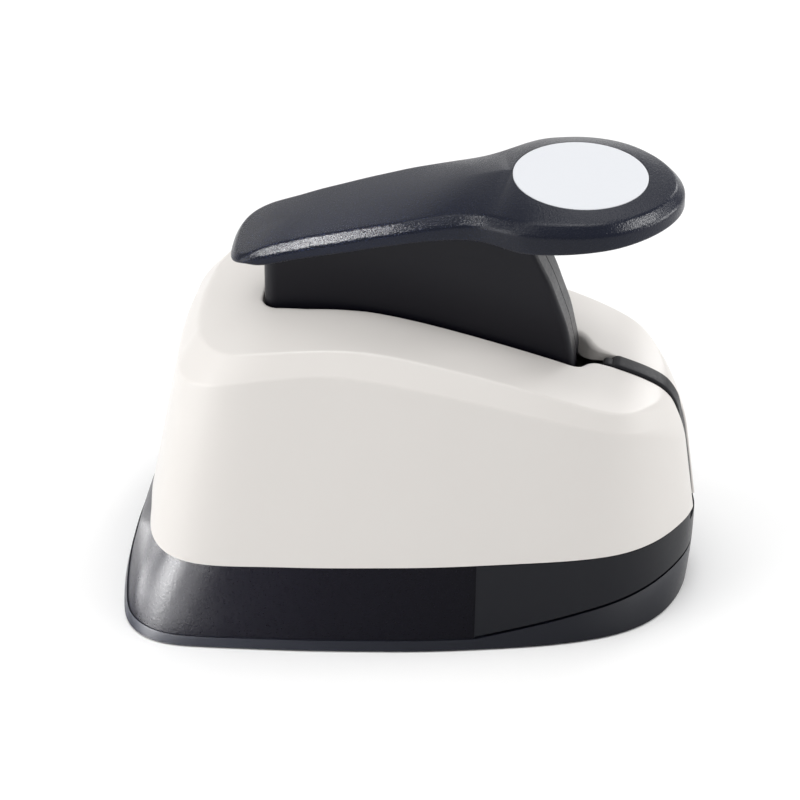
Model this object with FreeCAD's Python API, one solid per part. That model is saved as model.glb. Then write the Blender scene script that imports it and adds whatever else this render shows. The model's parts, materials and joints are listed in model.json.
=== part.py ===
import FreeCAD, Part
import math
import os

# Desk punch that cuts a paper disc, as an assembly of separate pieces.
# Frame: +X to the front (pad, die and lock bar), +Y to the left, +Z up; origin at the
# centre of the footprint on the desk. Millimetres.

V = FreeCAD.Vector
os.makedirs("parts", exist_ok=True)

# ---------------------------------------------------------------- driving dimensions
FOOT_H = 0.3            # feet stand this far below the bottom plate
RIM_TOP = 2.6           # top of the bottom plate's rim, behind the throat
COVER_Z0 = 20.0         # lower edge of the cover
PART_GAP = 0.2          # parting line between the cover and the base
COVER_T = 2.2           # wall of the cover
SKIRT_T = 2.5           # wall of the base mouldings
STEP_X = 18.0           # where the skirt ends and the front housing starts
SLOPE = 9.4             # degrees, the paper slot rises to the front
SLOT_H = 0.6            # paper slot
PUNCH_R = 19.05         # 1.5 inch disc
DIE_R = 19.10           # hole in the die and guide plates
PUNCH_S = 23.5          # punch centre, measured along the slot from the throat's back
DIE_T = 2.0             # die plate
GUIDE_T = 2.0           # guide plate
PX, PZ = -32.0, 57.0    # main lever pivot
QX, QZ = 55.0, 29.0     # press lever pivot
PIN_P_R = 3.0
PIN_Q_R = 2.5
RUN = 0.05              # running clearance of pins and posts
LEVER_MAX = 18.0        # degrees, main lever travel
PRESS_MAX = 13.0        # degrees, press lever travel over the same stroke
FIN_R = 69.0            # front of the fin, about the main pivot
FIN_Y = 6.5             # half thickness of the fin
FIN_HEEL_R = 3.2        # upright rounding at the back of the fin
CORE_Y = 1.5            # half thickness of the steel core
DOWEL_R = 3.0
NOSE_R = 3.0            # press nose under the press lever
NOSE_X = 38.2           # its place with the lever pressed
WEB_Z = (24.0, 26.0)    # web of the press lever with the lever pressed
WALL_TOP = 34.0         # top of its walls with the lever pressed
PLATE_Y = (6.9, 8.2)    # chassis side plates
SLIDE_TRAVEL = 4.0      # lock bar travel
BAR_SUNK = 0.6          # depth of the bar under the cover's skin, low on the nose
SLIDE_ANG = 14.0        # its direction, degrees above -X

A = math.radians(SLOPE)
SA, CA = math.sin(A), math.cos(A)


# ---------------------------------------------------------------- helpers
def half_ring(half, off=0.0):
    """Closed outline from a half outline (rear centre to nose, y >= 0), moved in by off."""
    pts = [(x, y) for x, y in half]
    full = pts + [(x, -y) for x, y in reversed(pts[1:-1])]
    if off:
        n = len(full)
        out = []
        for i in range(n):
            x0, y0 = full[i - 1]
            x1, y1 = full[(i + 1) % n]
            dx, dy = x1 - x0, y1 - y0
            d = math.hypot(dx, dy)
            # the outline runs clockwise seen from above: inside is to its right
            out.append((full[i][0] + off * dy / d, full[i][1] - off * dx / d))
        full = out
    return full


def ring_wire(half, z, off=0.0):
    c = Part.BSplineCurve()
    c.interpolate(Points=[V(x, y, z) for x, y in half_ring(half, off)], PeriodicFlag=True)
    return Part.Wire([c.toShape()])


def loft(wires, ruled=False):
    return Part.makeLoft(wires, True, ruled)


def poly_xz(pts, y0, y1):
    w = Part.makePolygon([V(x, y0, z) for x, z in pts] + [V(pts[0][0], y0, pts[0][1])])
    return Part.Face(w).extrude(V(0, y1 - y0, 0))


def curve_xz(pts, y0=0.0):
    c = Part.BSplineCurve()
    c.interpolate(Points=[V(x, y0, z) for x, z in pts])
    return c.toShape()


def band_xz(curve_pts, floor, y0, y1):
    """Solid under a smooth curve in XZ, down to z = floor."""
    e = curve_xz(curve_pts, y0)
    a, b = curve_pts[0], curve_pts[-1]
    w = Part.Wire([e, Part.makeLine(V(b[0], y0, b[1]), V(b[0], y0, floor)),
                   Part.makeLine(V(b[0], y0, floor), V(a[0], y0, floor)),
                   Part.makeLine(V(a[0], y0, floor), V(a[0], y0, a[1]))])
    return Part.Face(w).extrude(V(0, y1 - y0, 0))


def box(x0, x1, y0, y1, z0, z1):
    return Part.makeBox(x1 - x0, y1 - y0, z1 - z0, V(x0, y0, z0))


def cyl(r, p, d, h):
    return Part.makeCylinder(r, h, V(*p), V(*d))


def ycyl(r, x, z, y0, y1):
    return Part.makeCylinder(r, y1 - y0, V(x, y0, z), V(0, 1, 0))


def zcyl(r, x, y, z0, z1):
    return Part.makeCylinder(r, z1 - z0, V(x, y, z0), V(0, 0, 1))


def tilt(shape):
    """From slot coordinates (s along the slot, y, t across it) to the part's frame."""
    s = shape.copy()
    s.rotate(V(0, 0, 0), V(0, 1, 0), -SLOPE)
    s.translate(V(STEP_X, 0, RIM_TOP))
    return s


def turned(shape, x, z, deg):
    """Turned about a cross axis at (x, z); positive lowers the front."""
    s = shape.copy()
    s.rotate(V(x, 0, z), V(0, 1, 0), deg)
    return s


def rot_pt(x, z, cx, cz, deg):
    a = math.radians(deg)
    dx, dz = x - cx, z - cz
    return (cx + dx * math.cos(a) + dz * math.sin(a), cz - dx * math.sin(a) + dz * math.cos(a))


def one(shape):
    """The largest solid of a result."""
    sols = sorted(shape.Solids, key=lambda s: -s.Volume)
    return sols[0]


def group(shapes):
    return Part.makeCompound(shapes)


def save(name, shape):
    shape.exportStep("parts/%s.step" % name)
    b = shape.BoundBox
    print("%-16s solids %d volume %8.1f valid %s  x %.1f %.1f y %.1f %.1f z %.1f %.1f" % (
        name, len(shape.Solids), shape.Volume, shape.isValid(), b.XMin, b.XMax, b.YMin, b.YMax, b.ZMin, b.ZMax))


def fuse_all(shapes):
    r = shapes[0]
    for s in shapes[1:]:
        r = r.fuse(s)
    return r


def spring(cx, cy, z0, z1, r, wire, turns):
    """Compression spring on a vertical axis with closed, flat-lying end coils."""
    h = z1 - z0 - wire
    helix = Part.makeHelix(h / turns, h, r)
    c = Part.makeCircle(wire / 2.0, V(r, 0, 0), V(0, 1, 0))
    s = Part.Wire(helix).makePipeShell([Part.Wire([c])], True, True)
    s.translate(V(cx, cy, z0 + wire / 2.0))
    return s


# ---------------------------------------------------------------- outlines (half plans)
B0 = [(-65.0, 0), (-64.8, 10), (-64.1, 18.7), (-62.8, 27.8), (-61.1, 34.0), (-57.8, 38.7), (-52.5, 41.7),
      (-44, 42.5), (-33, 42.1), (-21, 41.5), (-8, 40.4), (5, 39.0), (16.5, 37.1), (26.5, 35.1), (35, 33.0),
      (42, 30.7), (48.2, 27.9), (53, 24.7), (57, 20.6), (60.3, 15.0), (62.6, 7.7), (63.4, 0)]
B7 = [(-63.3, 0), (-63.0, 10), (-62.2, 18.3), (-60.9, 27.4), (-59.2, 33.0), (-55.9, 37.4), (-51.0, 40.3), (-43, 41.1),
      (-32, 40.6), (-20, 39.7), (-7, 38.4), (6, 36.9), (17.3, 35.0), (26.9, 33.0), (35.3, 30.9), (42.3, 28.6),
      (48.4, 26.0), (53.3, 22.7), (57.4, 18.5), (60.9, 13.0), (63.4, 6.6), (64.2, 0)]
C20 = [(-59.1, 0), (-58.7, 9), (-57.6, 17.3), (-56.1, 26.7), (-54.4, 30.9), (-51.4, 34.9), (-47.3, 37.5),
       (-40, 38.7), (-30, 38.1), (-18, 37.2), (-5, 35.8), (8, 34.1), (19, 32.1), (28, 30.3), (36, 28.6), (43, 26.7),
       (49, 24.3), (53.7, 21.2), (58.0, 16.8), (61.5, 11.4), (63.9, 5.8), (64.7, 0)]
C70 = [(-49.6, 0), (-49.4, 7), (-49.0, 13.5), (-48.2, 19.0), (-47.0, 22.4), (-45.0, 25.6), (-42.0, 28.2),
       (-37, 30.4), (-29, 30.6), (-18, 29.4), (-6, 28.4), (6, 27.5), (16, 26.6), (24.5, 26.0), (32, 25.4),
       (38.8, 24.4), (44.6, 22.6), (49.2, 19.8), (52.8, 15.8), (55.6, 10.8), (57.6, 5.4), (58.2, 0)]

# top of the cover along its middle, and half width where its top face meets the bevel
TOP = [(-66, 62.0), (-56, 64.0), (-46, 66.0), (-38, 68.1), (-30, 69.4), (-23, 69.95), (-15.5, 70.0), (-5.4, 69.1),
       (4.7, 67.2), (14.7, 64.8), (24.8, 62.1), (33, 59.7), (40, 57.4), (45, 55.75), (50, 54.1), (54, 52.45),
       (57, 50.5), (59.6, 47.3), (61.4, 43.2), (62.6, 38.0), (63.6, 31.2), (64.4, 24.0), (64.9, 17.0)]
HALF_U = [(-66, 26.2), (-50, 26.6), (-39, 27.1), (-27.6, 27.0), (-13, 25.5), (-2, 24.7), (8.5, 24.2), (21.7, 23.4),
          (34.8, 22.9), (40, 22.6), (44, 21.5), (48, 19.8), (51.7, 17.4), (55, 15.2), (58, 13.2), (62, 11.2), (66, 10)]


def lin(tab, x):
    if x <= tab[0][0]:
        return tab[0][1]
    for (a, b), (c, d) in zip(tab, tab[1:]):
        if x <= c:
            return b + (d - b) * (x - a) / (c - a)
    return tab[-1][1]


def top_normal(x):
    """Slope of the cover's top line as a unit normal."""
    h = 0.2
    dz = lin(TOP, x + h) - lin(TOP, x - h)
    d = math.hypot(2 * h, dz)
    return (-dz / d, 2 * h / d)


# ---------------------------------------------------------------- base, below the cover
def base_solid(off, z0=0.0, z1=COVER_Z0 - PART_GAP, b0_off=0.0):
    """Drafted solid of the base's outer shape, moved in by off."""
    k = (z1 - 7.0) / (COVER_Z0 - 7.0)
    top = [(b[0] + (c[0] - b[0]) * k, b[1] + (c[1] - b[1]) * k) for b, c in zip(B7, C20)]
    return loft([ring_wire(B0, 0.0, off + b0_off), ring_wire(B7, 7.0, off), ring_wire(top, z1, off)])


def above_slot(t):
    return tilt(box(-120, 120, -80, 80, t, t + 90))


def below_slot(t):
    return tilt(box(-120, 120, -80, 80, t - 90, t))


outer_skirt = base_solid(0.35)
outer_front = base_solid(0.0)
inner_skirt = base_solid(SKIRT_T + 0.35, z1=COVER_Z0 - PART_GAP)
inner_front = base_solid(SKIRT_T)

# tall forms of the inner space, for pieces that reach above the parting line
COVER_SCREWS = [(-43.0, 23.5), (-43.0, -23.5), (7.0, 24.5), (7.0, -24.5)]
BASE_SCREWS = [(-53.0, 26.0), (-53.0, -26.0), (-20.0, 35.0), (-20.0, -35.0), (9.5, 32.0), (9.5, -32.0)]
FEET = [(-50.0, 34.0), (-50.0, -34.0), (-3.0, 33.0), (-3.0, -33.0)]
HOUSING_SCREWS = [(15.0, 11.0), (-15.0, 11.0), (28.5, 11.0), (-28.5, 11.0)]
CHASSIS_SCREWS = [(-36.0, 14.0), (-36.0, -14.0), (-8.0, 14.0), (-8.0, -14.0)]

# base skirt: wall, floor, bulkhead behind the throat, lip under the cover, bosses
wall = outer_skirt.cut(inner_skirt)
wall = wall.common(box(-90, STEP_X, -60, 60, RIM_TOP, 30))
floor = outer_skirt.common(box(-90, STEP_X, -60, 60, RIM_TOP, 4.6))
bulk = outer_skirt.common(box(STEP_X - 2.5, STEP_X, -60, 60, RIM_TOP, COVER_Z0 - PART_GAP))
lip = loft([ring_wire(C20, 16.0, COVER_T + 0.35), ring_wire(C20, 23.0, COVER_T + 0.9)], True).cut(
    loft([ring_wire(C20, 15.9, COVER_T + 1.95), ring_wire(C20, 23.1, COVER_T + 2.5)], True))
lip = lip.fuse(outer_skirt.cut(loft([ring_wire(C20, 15.9, COVER_T + 1.95), ring_wire(C20, 23.1, COVER_T + 2.5)], True))
               .common(box(-90, 90, -60, 60, 15.95, 17.6)))
lip_rear = lip.common(box(-90, STEP_X, -60, 60, 15, 30))
skirt = fuse_all([wall, floor, bulk, lip_rear])
for x, y in COVER_SCREWS:
    skirt = skirt.fuse(zcyl(4.4, x, y, 4.0, 21.8))
for x, y in BASE_SCREWS:
    skirt = skirt.fuse(zcyl(3.0, x, y, 4.0, 12.0).common(outer_skirt))
for x, y in CHASSIS_SCREWS:
    skirt = skirt.cut(zcyl(1.3, x, y, 2.0, 6.0))
for x, y in COVER_SCREWS:
    skirt = skirt.cut(zcyl(1.75, x, y, 2.0, 23.0)).cut(zcyl(3.25, x, y, 2.0, 10.0))
for x, y in BASE_SCREWS:
    skirt = skirt.cut(zcyl(1.1, x, y, 2.0, 10.0))
for y, z in HOUSING_SCREWS:
    skirt = skirt.cut(cyl(1.6, (10, y, z), (1, 0, 0), 10))
# opening in the bulkhead for the press lever and the chassis
skirt = skirt.cut(box(STEP_X - 4, STEP_X + 4, -11, 11, 16.5, 30))
skirt = one(skirt)

# bottom plate: thin behind the throat, a wedge under the paper in front of it
plate_env = base_solid(0.0)
plate = plate_env.common(box(-90, STEP_X, -60, 60, FOOT_H, RIM_TOP)).fuse(
    plate_env.common(box(STEP_X, 90, -60, 60, FOOT_H, 30)).common(below_slot(0.0)))
die_env = base_solid(3.6)
recess = tilt(box(2.6, 60, -60, 60, -DIE_T, 5.0)).common(base_solid(3.6))
plate = plate.cut(recess)
plate = plate.cut(tilt(cyl(PUNCH_R + 1.2, (PUNCH_S, 0, -30), (0, 0, 1), 40)))
# hollow under the wedge, around the chute's wall
hollow = base_solid(3.0).common(box(36, 90, -60, 60, -5, 30)).common(below_slot(-DIE_T - 1.8))
hollow = hollow.cut(tilt(cyl(PUNCH_R + 3.2, (PUNCH_S, 0, -30), (0, 0, 1), 60)))
plate = plate.cut(hollow)
for x, y in BASE_SCREWS:
    plate = plate.cut(zcyl(1.4, x, y, 0, 5)).cut(zcyl(2.6, x, y, -1, 1.5))
for x, y in FEET:
    plate = plate.cut(zcyl(4.5, x, y, -1, 1.3))
DIE_SCREWS = [(6.0, 23.0), (6.0, -23.0), (29.0, 20.6), (29.0, -20.6)]
for s, y in DIE_SCREWS:
    plate = plate.cut(tilt(zcyl(0.9, s, y, -DIE_T - 1.6, 1)))
plate = one(plate)

# die plate and its screws
die = tilt(box(2.6, 60, -60, 60, -DIE_T, 0.0)).common(base_solid(3.6))
die = die.cut(tilt(cyl(DIE_R, (PUNCH_S, 0, -30), (0, 0, 1), 60)))
die_screws = []
for s, y in DIE_SCREWS:
    cone = Part.makeCone(1.0, 1.6, 1.0, V(s, y, -1.0), V(0, 0, 1))
    hole = zcyl(1.0, s, y, -DIE_T, -1.0)
    die = die.cut(tilt(cone)).cut(tilt(zcyl(1.0, s, y, -DIE_T - 0.5, -0.9)))
    scr = zcyl(1.0, s, y, -DIE_T, -1.0).fuse(cone).fuse(zcyl(0.9, s, y, -DIE_T - 1.6, -DIE_T))
    scr = scr.cut(box(s - 2.2, s + 2.2, y - 0.25, y + 0.25, -0.45, 0.1))
    die_screws.append(tilt(one(scr)))
die = one(die)

# front housing: smooth nose above the slot
front = outer_front.cut(inner_front)
front = front.common(box(STEP_X, 90, -60, 60, 0, 30))
rear_wall = outer_front.common(box(STEP_X, STEP_X + 2.2, -60, 60, 0, COVER_Z0 - PART_GAP))
ledge = outer_front.common(box(STEP_X, 90, -60, 60, 0, 30)).common(tilt(box(-20, 90, -60, 60, SLOT_H, SLOT_H + GUIDE_T + 2.0)))
ledge = ledge.cut(base_solid(6.2).common(box(STEP_X + 3.4, 90, -60, 60, -5, 40)))
lip_front = lip.common(box(STEP_X, 90, -60, 60, 15, 30))
POST_Y = 22.0
POST_R = 1.5
for sy in (1, -1):
    lip_front = lip_front.cut(tilt(box(PUNCH_S - 5.4, PUNCH_S + 5.4, 17.0 if sy > 0 else -40.0, 40.0 if sy > 0 else -17.0, 4.0, 40.0)))
front = fuse_all([front, rear_wall, ledge, lip_front])
front = front.common(above_slot(SLOT_H))
guide_env = base_solid(3.2).common(box(STEP_X + 0.8, 90, -60, 60, -5, 40))
guide = guide_env.common(tilt(box(-20, 90, -60, 60, SLOT_H, SLOT_H + GUIDE_T)))
front = front.cut(guide)
front = front.cut(tilt(cyl(19.8, (PUNCH_S, 0, SLOT_H), (0, 0, 1), 8.0)))
for sy in (1, -1):
    front = front.cut(tilt(cyl(2.9, (PUNCH_S, sy * POST_Y, SLOT_H + GUIDE_T), (0, 0, 1), 30)).common(base_solid(2.2)))
GUIDE_SCREWS = [(6.0, 23.0), (6.0, -23.0), (29.0, 20.6), (29.0, -20.6)]
for s, y in GUIDE_SCREWS:
    front = front.cut(tilt(zcyl(0.9, s, y, SLOT_H, SLOT_H + GUIDE_T + 1.9)))
for y, z in HOUSING_SCREWS:
    front = front.cut(cyl(1.2, (10, y, z), (1, 0, 0), 12))
front = front.cut(box(STEP_X - 4, STEP_X + 6, -11, 11, 16.5, 30))
# the lip and the wall stay clear of the lock bar at the nose
front = front.cut(box(55, 70, -5.2, 5.2, COVER_Z0 - 2.2, 30))
front = one(front)

guide = guide.cut(tilt(cyl(DIE_R, (PUNCH_S, 0, -30), (0, 0, 1), 60)))
guide_screws = []
for s, y in GUIDE_SCREWS:
    cone = Part.makeCone(1.6, 1.0, 1.0, V(s, y, SLOT_H), V(0, 0, 1))
    guide = guide.cut(tilt(cone)).cut(tilt(zcyl(1.0, s, y, SLOT_H + 0.9, 4)))
    scr = cone.fuse(zcyl(1.0, s, y, SLOT_H + 1.0, SLOT_H + GUIDE_T)).fuse(
        zcyl(0.9, s, y, SLOT_H + GUIDE_T, SLOT_H + GUIDE_T + 1.9))
    scr = scr.cut(box(s - 2.2, s + 2.2, y - 0.25, y + 0.25, SLOT_H - 0.1, SLOT_H + 0.5))
    guide_screws.append(tilt(one(scr)))
posts = []
for sy in (1, -1):
    guide = guide.cut(tilt(cyl(POST_R, (PUNCH_S, sy * POST_Y, -5), (0, 0, 1), 20)))
    posts.append(tilt(cyl(POST_R, (PUNCH_S, sy * POST_Y, SLOT_H), (0, 0, 1), 13.4)))
guide = one(guide)

# ---------------------------------------------------------------- cover
def cover_form(off):
    walls = loft([ring_wire(C20, COVER_Z0 - (2.0 if off else 0.0), off), ring_wire(C70, 74.0, off)], True)
    # C20 to C70 is drawn over 50 mm of height; carried on to 74 it stays straight
    k = 54.0 / 50.0
    up = [(a[0] + (b[0] - a[0]) * k, a[1] + (b[1] - a[1]) * k) for a, b in zip(C20, C70)]
    z0 = COVER_Z0 - (2.0 if off else 0.0)
    kk = (z0 - COVER_Z0) / 50.0
    lo = [(a[0] + (b[0] - a[0]) * kk, a[1] + (b[1] - a[1]) * kk) for a, b in zip(C20, C70)]
    walls = loft([ring_wire(lo, z0, off), ring_wire(up, 74.0, off)], True)
    # roof: top face and bevel, cross-sections along X
    xs = [-66, -56, -48, -40, -32, -24, -16, -8, 0, 8, 16, 24, 32, 38, 43, 47, 50.5, 53.5, 56, 58, 59.6, 61, 62.2, 63.2,
          64.2, 65.5]
    wires = []
    for x in xs:
        nx, nz = top_normal(x)
        zt = lin(TOP, x) - off * min(1.0 / nz, 2.2)
        u = lin(HALF_U, x) - 0.4 * off
        pts = [V(x, -u - 40, zt - 40), V(x, -u, zt), V(x, u, zt), V(x, u + 40, zt - 40), V(x, u + 40, -30), V(x, -u - 40, -30)]
        wires.append(Part.makePolygon(pts + [pts[0]]))
    roof = loft(wires, True)
    body = walls.common(roof)
    # bevel along the rear edge
    rz = lin(TOP, -47.5)
    cut = poly_xz([(-47.0 + off, rz + 0.6 - off * 1.0), (-47.0 + off, 90), (-80, 90), (-80 + off, rz + 0.6 - off * 1.0 - 33)], -60, 60)
    return one(body.cut(cut))


cover_out = cover_form(0.0)
cover_in = cover_form(COVER_T)
cover = cover_out.cut(cover_in)
cover = cover.common(box(-90, 90, -60, 60, COVER_Z0, 90))


def slot_form(hw, x0, x1, r, z0, z1):
    b = box(x0, x1, -hw, hw, z0, z1)
    es = [e for e in b.Edges if abs(e.Vertexes[0].Point.z - e.Vertexes[-1].Point.z) > 1.0]
    return b.makeFillet(r, es)


SLOT_HW = 7.05
cover = cover.cut(slot_form(SLOT_HW, PX - 2.2, 37.7, 3.2, 40, 90))
CHAN_HW = 2.6
cover = cover.cut(box(34, 80, -CHAN_HW, CHAN_HW, COVER_Z0 - 5, 90))
for x, y in COVER_SCREWS:
    boss = zcyl(3.6, x, y, 22.0, 72.0).common(cover_out.cut(cover_in).fuse(cover_in))
    boss = boss.cut(box(-90, 90, -60, 60, 0, 22.0))
    cover = cover.fuse(boss)
    cover = cover.cut(zcyl(1.4, x, y, 21, 36))
cover = one(cover)

# ---------------------------------------------------------------- screws of the casing
cover_screws, base_screws, feet, housing_screws, chassis_screws = [], [], [], [], []
for x, y in COVER_SCREWS:
    s = zcyl(3.0, x, y, 7.8, 10.0).fuse(zcyl(1.4, x, y, 10.0, 35.0))
    s = s.cut(box(x - 2, x + 2, y - 0.4, y + 0.4, 7.0, 8.9)).cut(box(x - 0.4, x + 0.4, y - 2, y + 2, 7.0, 8.9))
    cover_screws.append(one(s))
for x, y in BASE_SCREWS:
    s = zcyl(2.4, x, y, 0.5, 1.5).fuse(zcyl(1.1, x, y, 1.5, 9.5))
    s = s.cut(box(x - 1.6, x + 1.6, y - 0.3, y + 0.3, 0.2, 1.0)).cut(box(x - 0.3, x + 0.3, y - 1.6, y + 1.6, 0.2, 1.0))
    base_screws.append(one(s))
for x, y in FEET:
    f = zcyl(4.5, x, y, 0.0, 1.3)
    f = f.makeFillet(0.25, [e for e in f.Edges if abs(e.CenterOfMass.z) < 0.01])
    feet.append(f)
for y, z in HOUSING_SCREWS:
    s = cyl(2.4, (14.0, y, z), (1, 0, 0), 1.5).fuse(cyl(1.2, (15.5, y, z), (1, 0, 0), 4.7))
    s = s.cut(box(13.5, 14.8, y - 1.6, y + 1.6, z - 0.3, z + 0.3))
    housing_screws.append(one(s))

# ---------------------------------------------------------------- chassis side plates
side = [(-42.0, 4.6), (11.0, 4.6), (13.0, 8.0), (13.0, 21.2), (57.4, 21.2), (58.8, 24.0), (58.8, 30.5),
        (56.8, 33.6), (50, 35.5), (40, 39.5), (0, 54.0), (-23, 62.0), (-32, 63.9), (-38.2, 61.5), (-40.4, 57.0),
        (-41.6, 40.0)]
plates = []
for sgn in (-1, 1):
    y0, y1 = (PLATE_Y[0], PLATE_Y[1]) if sgn > 0 else (-PLATE_Y[1], -PLATE_Y[0])
    p = poly_xz(side, y0, y1)
    fl = box(-41.0, 3.0, PLATE_Y[1] - 0.3, 18.0, 4.6, 6.1) if sgn > 0 else box(-41.0, 3.0, -18.0, -PLATE_Y[1] + 0.3, 4.6, 6.1)
    p = p.fuse(fl)
    p = p.cut(ycyl(PIN_P_R, PX, PZ, -30, 30)).cut(ycyl(PIN_Q_R, QX, QZ, -30, 30))
    # lightening holes
    p = p.cut(ycyl(6.0, -22.0, 27.0, y0 - 1, y1 + 1)).cut(ycyl(6.0, 0.0, 31.0, y0 - 1, y1 + 1))
    p = p.cut(ycyl(3.2, -23.0, 46.0, y0 - 1, y1 + 1)).cut(ycyl(3.2, 20.0, 31.0, y0 - 1, y1 + 1))
    for x, y in CHASSIS_SCREWS:
        p = p.cut(zcyl(1.6, x, y, 4, 8))
    plates.append(one(p))
for x, y in CHASSIS_SCREWS:
    s = zcyl(2.6, x, y, 6.1, 7.9).fuse(zcyl(1.6, x, y, 4.6, 6.1)).fuse(zcyl(1.3, x, y, 2.9, 4.6))
    s = s.cut(box(x - 1.8, x + 1.8, y - 0.35, y + 0.35, 7.0, 8.0))
    chassis_screws.append(one(s))

tie = []
for x, z in ((-36.0, 30.0), (-8.0, 20.0), (48.0, 37.4)):
    if x > 40:
        continue
    t = ycyl(2.6, x, z, -PLATE_Y[0], PLATE_Y[0])
    tie.append(t)

pin_p = ycyl(PIN_P_R, PX, PZ, -9.8, 9.8)
pin_q = ycyl(PIN_Q_R, QX, QZ, -9.8, 9.8)
clips = []
for x, z, r in ((PX, PZ, PIN_P_R), (QX, QZ, PIN_Q_R)):
    for y0 in (8.3, -9.0):
        groove = ycyl(r + 1, x, z, y0, y0 + 0.7).cut(ycyl(r - 0.5, x, z, y0, y0 + 0.7))
        if r == PIN_P_R:
            pin_p = pin_p.cut(groove)
        else:
            pin_q = pin_q.cut(groove)
        c = ycyl(r + 1.4, x, z, y0, y0 + 0.7).cut(ycyl(r - 0.5, x, z, y0, y0 + 0.7))
        c = c.cut(box(x - 1.5, x + 1.5, y0 - 1, y0 + 2, z - 9, z))
        clips.append(one(c))
bushes_p = [ycyl(5.2, PX, PZ, a, b).cut(ycyl(PIN_P_R, PX, PZ, a, b)) for a, b in ((FIN_Y + 0.06, PLATE_Y[0]), (-PLATE_Y[0], -FIN_Y - 0.06))]
bushes_q = [ycyl(4.2, QX, QZ, a, b).cut(ycyl(PIN_Q_R, QX, QZ, a, b)) for a, b in ((5.6, PLATE_Y[0]), (-PLATE_Y[0], -5.6))]

# ---------------------------------------------------------------- linkage
# The dowel in the core touches the top of the press lever at both ends of the stroke.
def solve_dowel():
    th, ps = math.radians(LEVER_MAX), math.radians(PRESS_MAX)
    h = WALL_TOP - QZ + DOWEL_R           # distance from the press pivot to the dowel's line
    # pressed: B cos(th) - A sin(th) = (WALL_TOP + DOWEL_R) - PZ
    # at rest: PZ + B = QZ + h / cos(ps) + (QX - PX - A) tan(ps)
    k = math.tan(ps)
    c0 = QZ + h / math.cos(ps) + (QX - PX) * k - PZ
    down = WALL_TOP + DOWEL_R - PZ
    a = (c0 * math.cos(th) - down) / (math.sin(th) + k * math.cos(th))
    return a, c0 - k * a


DA, DB = solve_dowel()
GAP = 0.12
DOW_X, DOW_Z = PX + DA, PZ + DB + GAP
DOWN_DOW = rot_pt(DOW_X, DOW_Z, PX, PZ, LEVER_MAX)
RATIO_PRESS = -PRESS_MAX / LEVER_MAX


def press_down_pt(x, z):
    """Point of the press lever, given pressed, at rest."""
    return rot_pt(x, z, QX, QZ, PRESS_MAX)


# stroke of the punch from the nose of the press lever
def along_n(x, z):
    return -(x - STEP_X) * SA + (z - RIM_TOP) * CA


NOSE_Z = WEB_Z[0] + 1.5
t_down = along_n(NOSE_X, NOSE_Z) - NOSE_R
nx_, nz_ = press_down_pt(NOSE_X, NOSE_Z)
t_rest = along_n(nx_, nz_) - NOSE_R
STROKE = t_rest - t_down
CARRIER_TOP = t_rest - 0.15
print("dowel at rest (%.3f, %.3f), pressed (%.3f, %.3f)" % (DOW_X, DOW_Z, DOWN_DOW[0], DOWN_DOW[1]))
print("stroke %.4f mm, per radian of lever %.6f m, press ratio %.6f" % (
    STROKE, STROKE / 1000.0 / math.radians(LEVER_MAX), RATIO_PRESS))

# press lever, drawn pressed, then turned back to rest
pl = box(-5.0, 60.0, -5.5, 5.5, WEB_Z[0], WALL_TOP).cut(box(-6, 61, -3.0, 3.0, WEB_Z[1], 40))
pl = pl.cut(poly_xz([(45, 20), (62, 20), (62, 25.0), (52.5, 25.0), (48.5, 24.0)], -8, 8))
ear = ycyl(5.0, QX, QZ, -5.5, -3.0).fuse(ycyl(5.0, QX, QZ, 3.0, 5.5))
pl = pl.cut(box(QX, 70, -8, 8, 10, 45)).cut(box(50.0, 70, -3.0, 3.0, 10, 45)).fuse(ear)
pl = pl.fuse(ycyl(NOSE_R, NOSE_X, NOSE_Z, -5.5, 5.5).common(box(0, 70, -8, 8, 0, WEB_Z[1])))
pl = pl.cut(ycyl(PIN_Q_R + RUN, QX, QZ, -10, 10))
# path of the dowel over the press lever: shallow cam in the top of the walls
N = 12
for i in range(N + 1):
    th = LEVER_MAX * i / N
    x, z = rot_pt(DOW_X, DOW_Z, PX, PZ, th)
    x, z = rot_pt(x, z, QX, QZ, -(PRESS_MAX + RATIO_PRESS * th))
    pl = pl.cut(ycyl(DOWEL_R + 0.08, x, z, -8, 8))
pl = one(pl)
press_lever = turned(pl, QX, QZ, PRESS_MAX)

# ---------------------------------------------------------------- punch
def local_cyl(r, s, y, t0, t1):
    return tilt(cyl(r, (s, y, t0), (0, 0, 1), t1 - t0))


CUT_B, CUT_T = 1.2, 9.2
cutter = local_cyl(PUNCH_R, PUNCH_S, 0, CUT_B, CUT_T).cut(local_cyl(15.6, PUNCH_S, 0, CUT_B - 1, CUT_T - 2.5))
cutter = cutter.cut(tilt(cyl(230.0, (PUNCH_S, -40, CUT_B - 230.0 + 0.75), (0, 1, 0), 80)))
CUTTER_SCREWS = [(PUNCH_S + 13.0, 0.0), (PUNCH_S - 6.5, 11.3), (PUNCH_S - 6.5, -11.3)]
carrier = local_cyl(18.4, PUNCH_S, 0, CUT_T, CUT_T + 2.5)
carrier = carrier.fuse(tilt(box(PUNCH_S - 3.0, PUNCH_S + 3.0, -23.9, 23.9, CUT_T, CUT_T + 2.5)))
up = box(PUNCH_S - 6.5, PUNCH_S + 3.0, -6.4, 6.4, CUT_T + 1.0, CARRIER_TOP)
up = up.makeFillet(1.6, [e for e in up.Edges if abs(e.Vertexes[0].Point.z - e.Vertexes[-1].Point.z) > 1.0])
carrier = carrier.fuse(tilt(up))
for sy in (1, -1):
    carrier = carrier.cut(local_cyl(POST_R + RUN, PUNCH_S, sy * POST_Y, 0, 30))
cutter_screws = []
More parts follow.
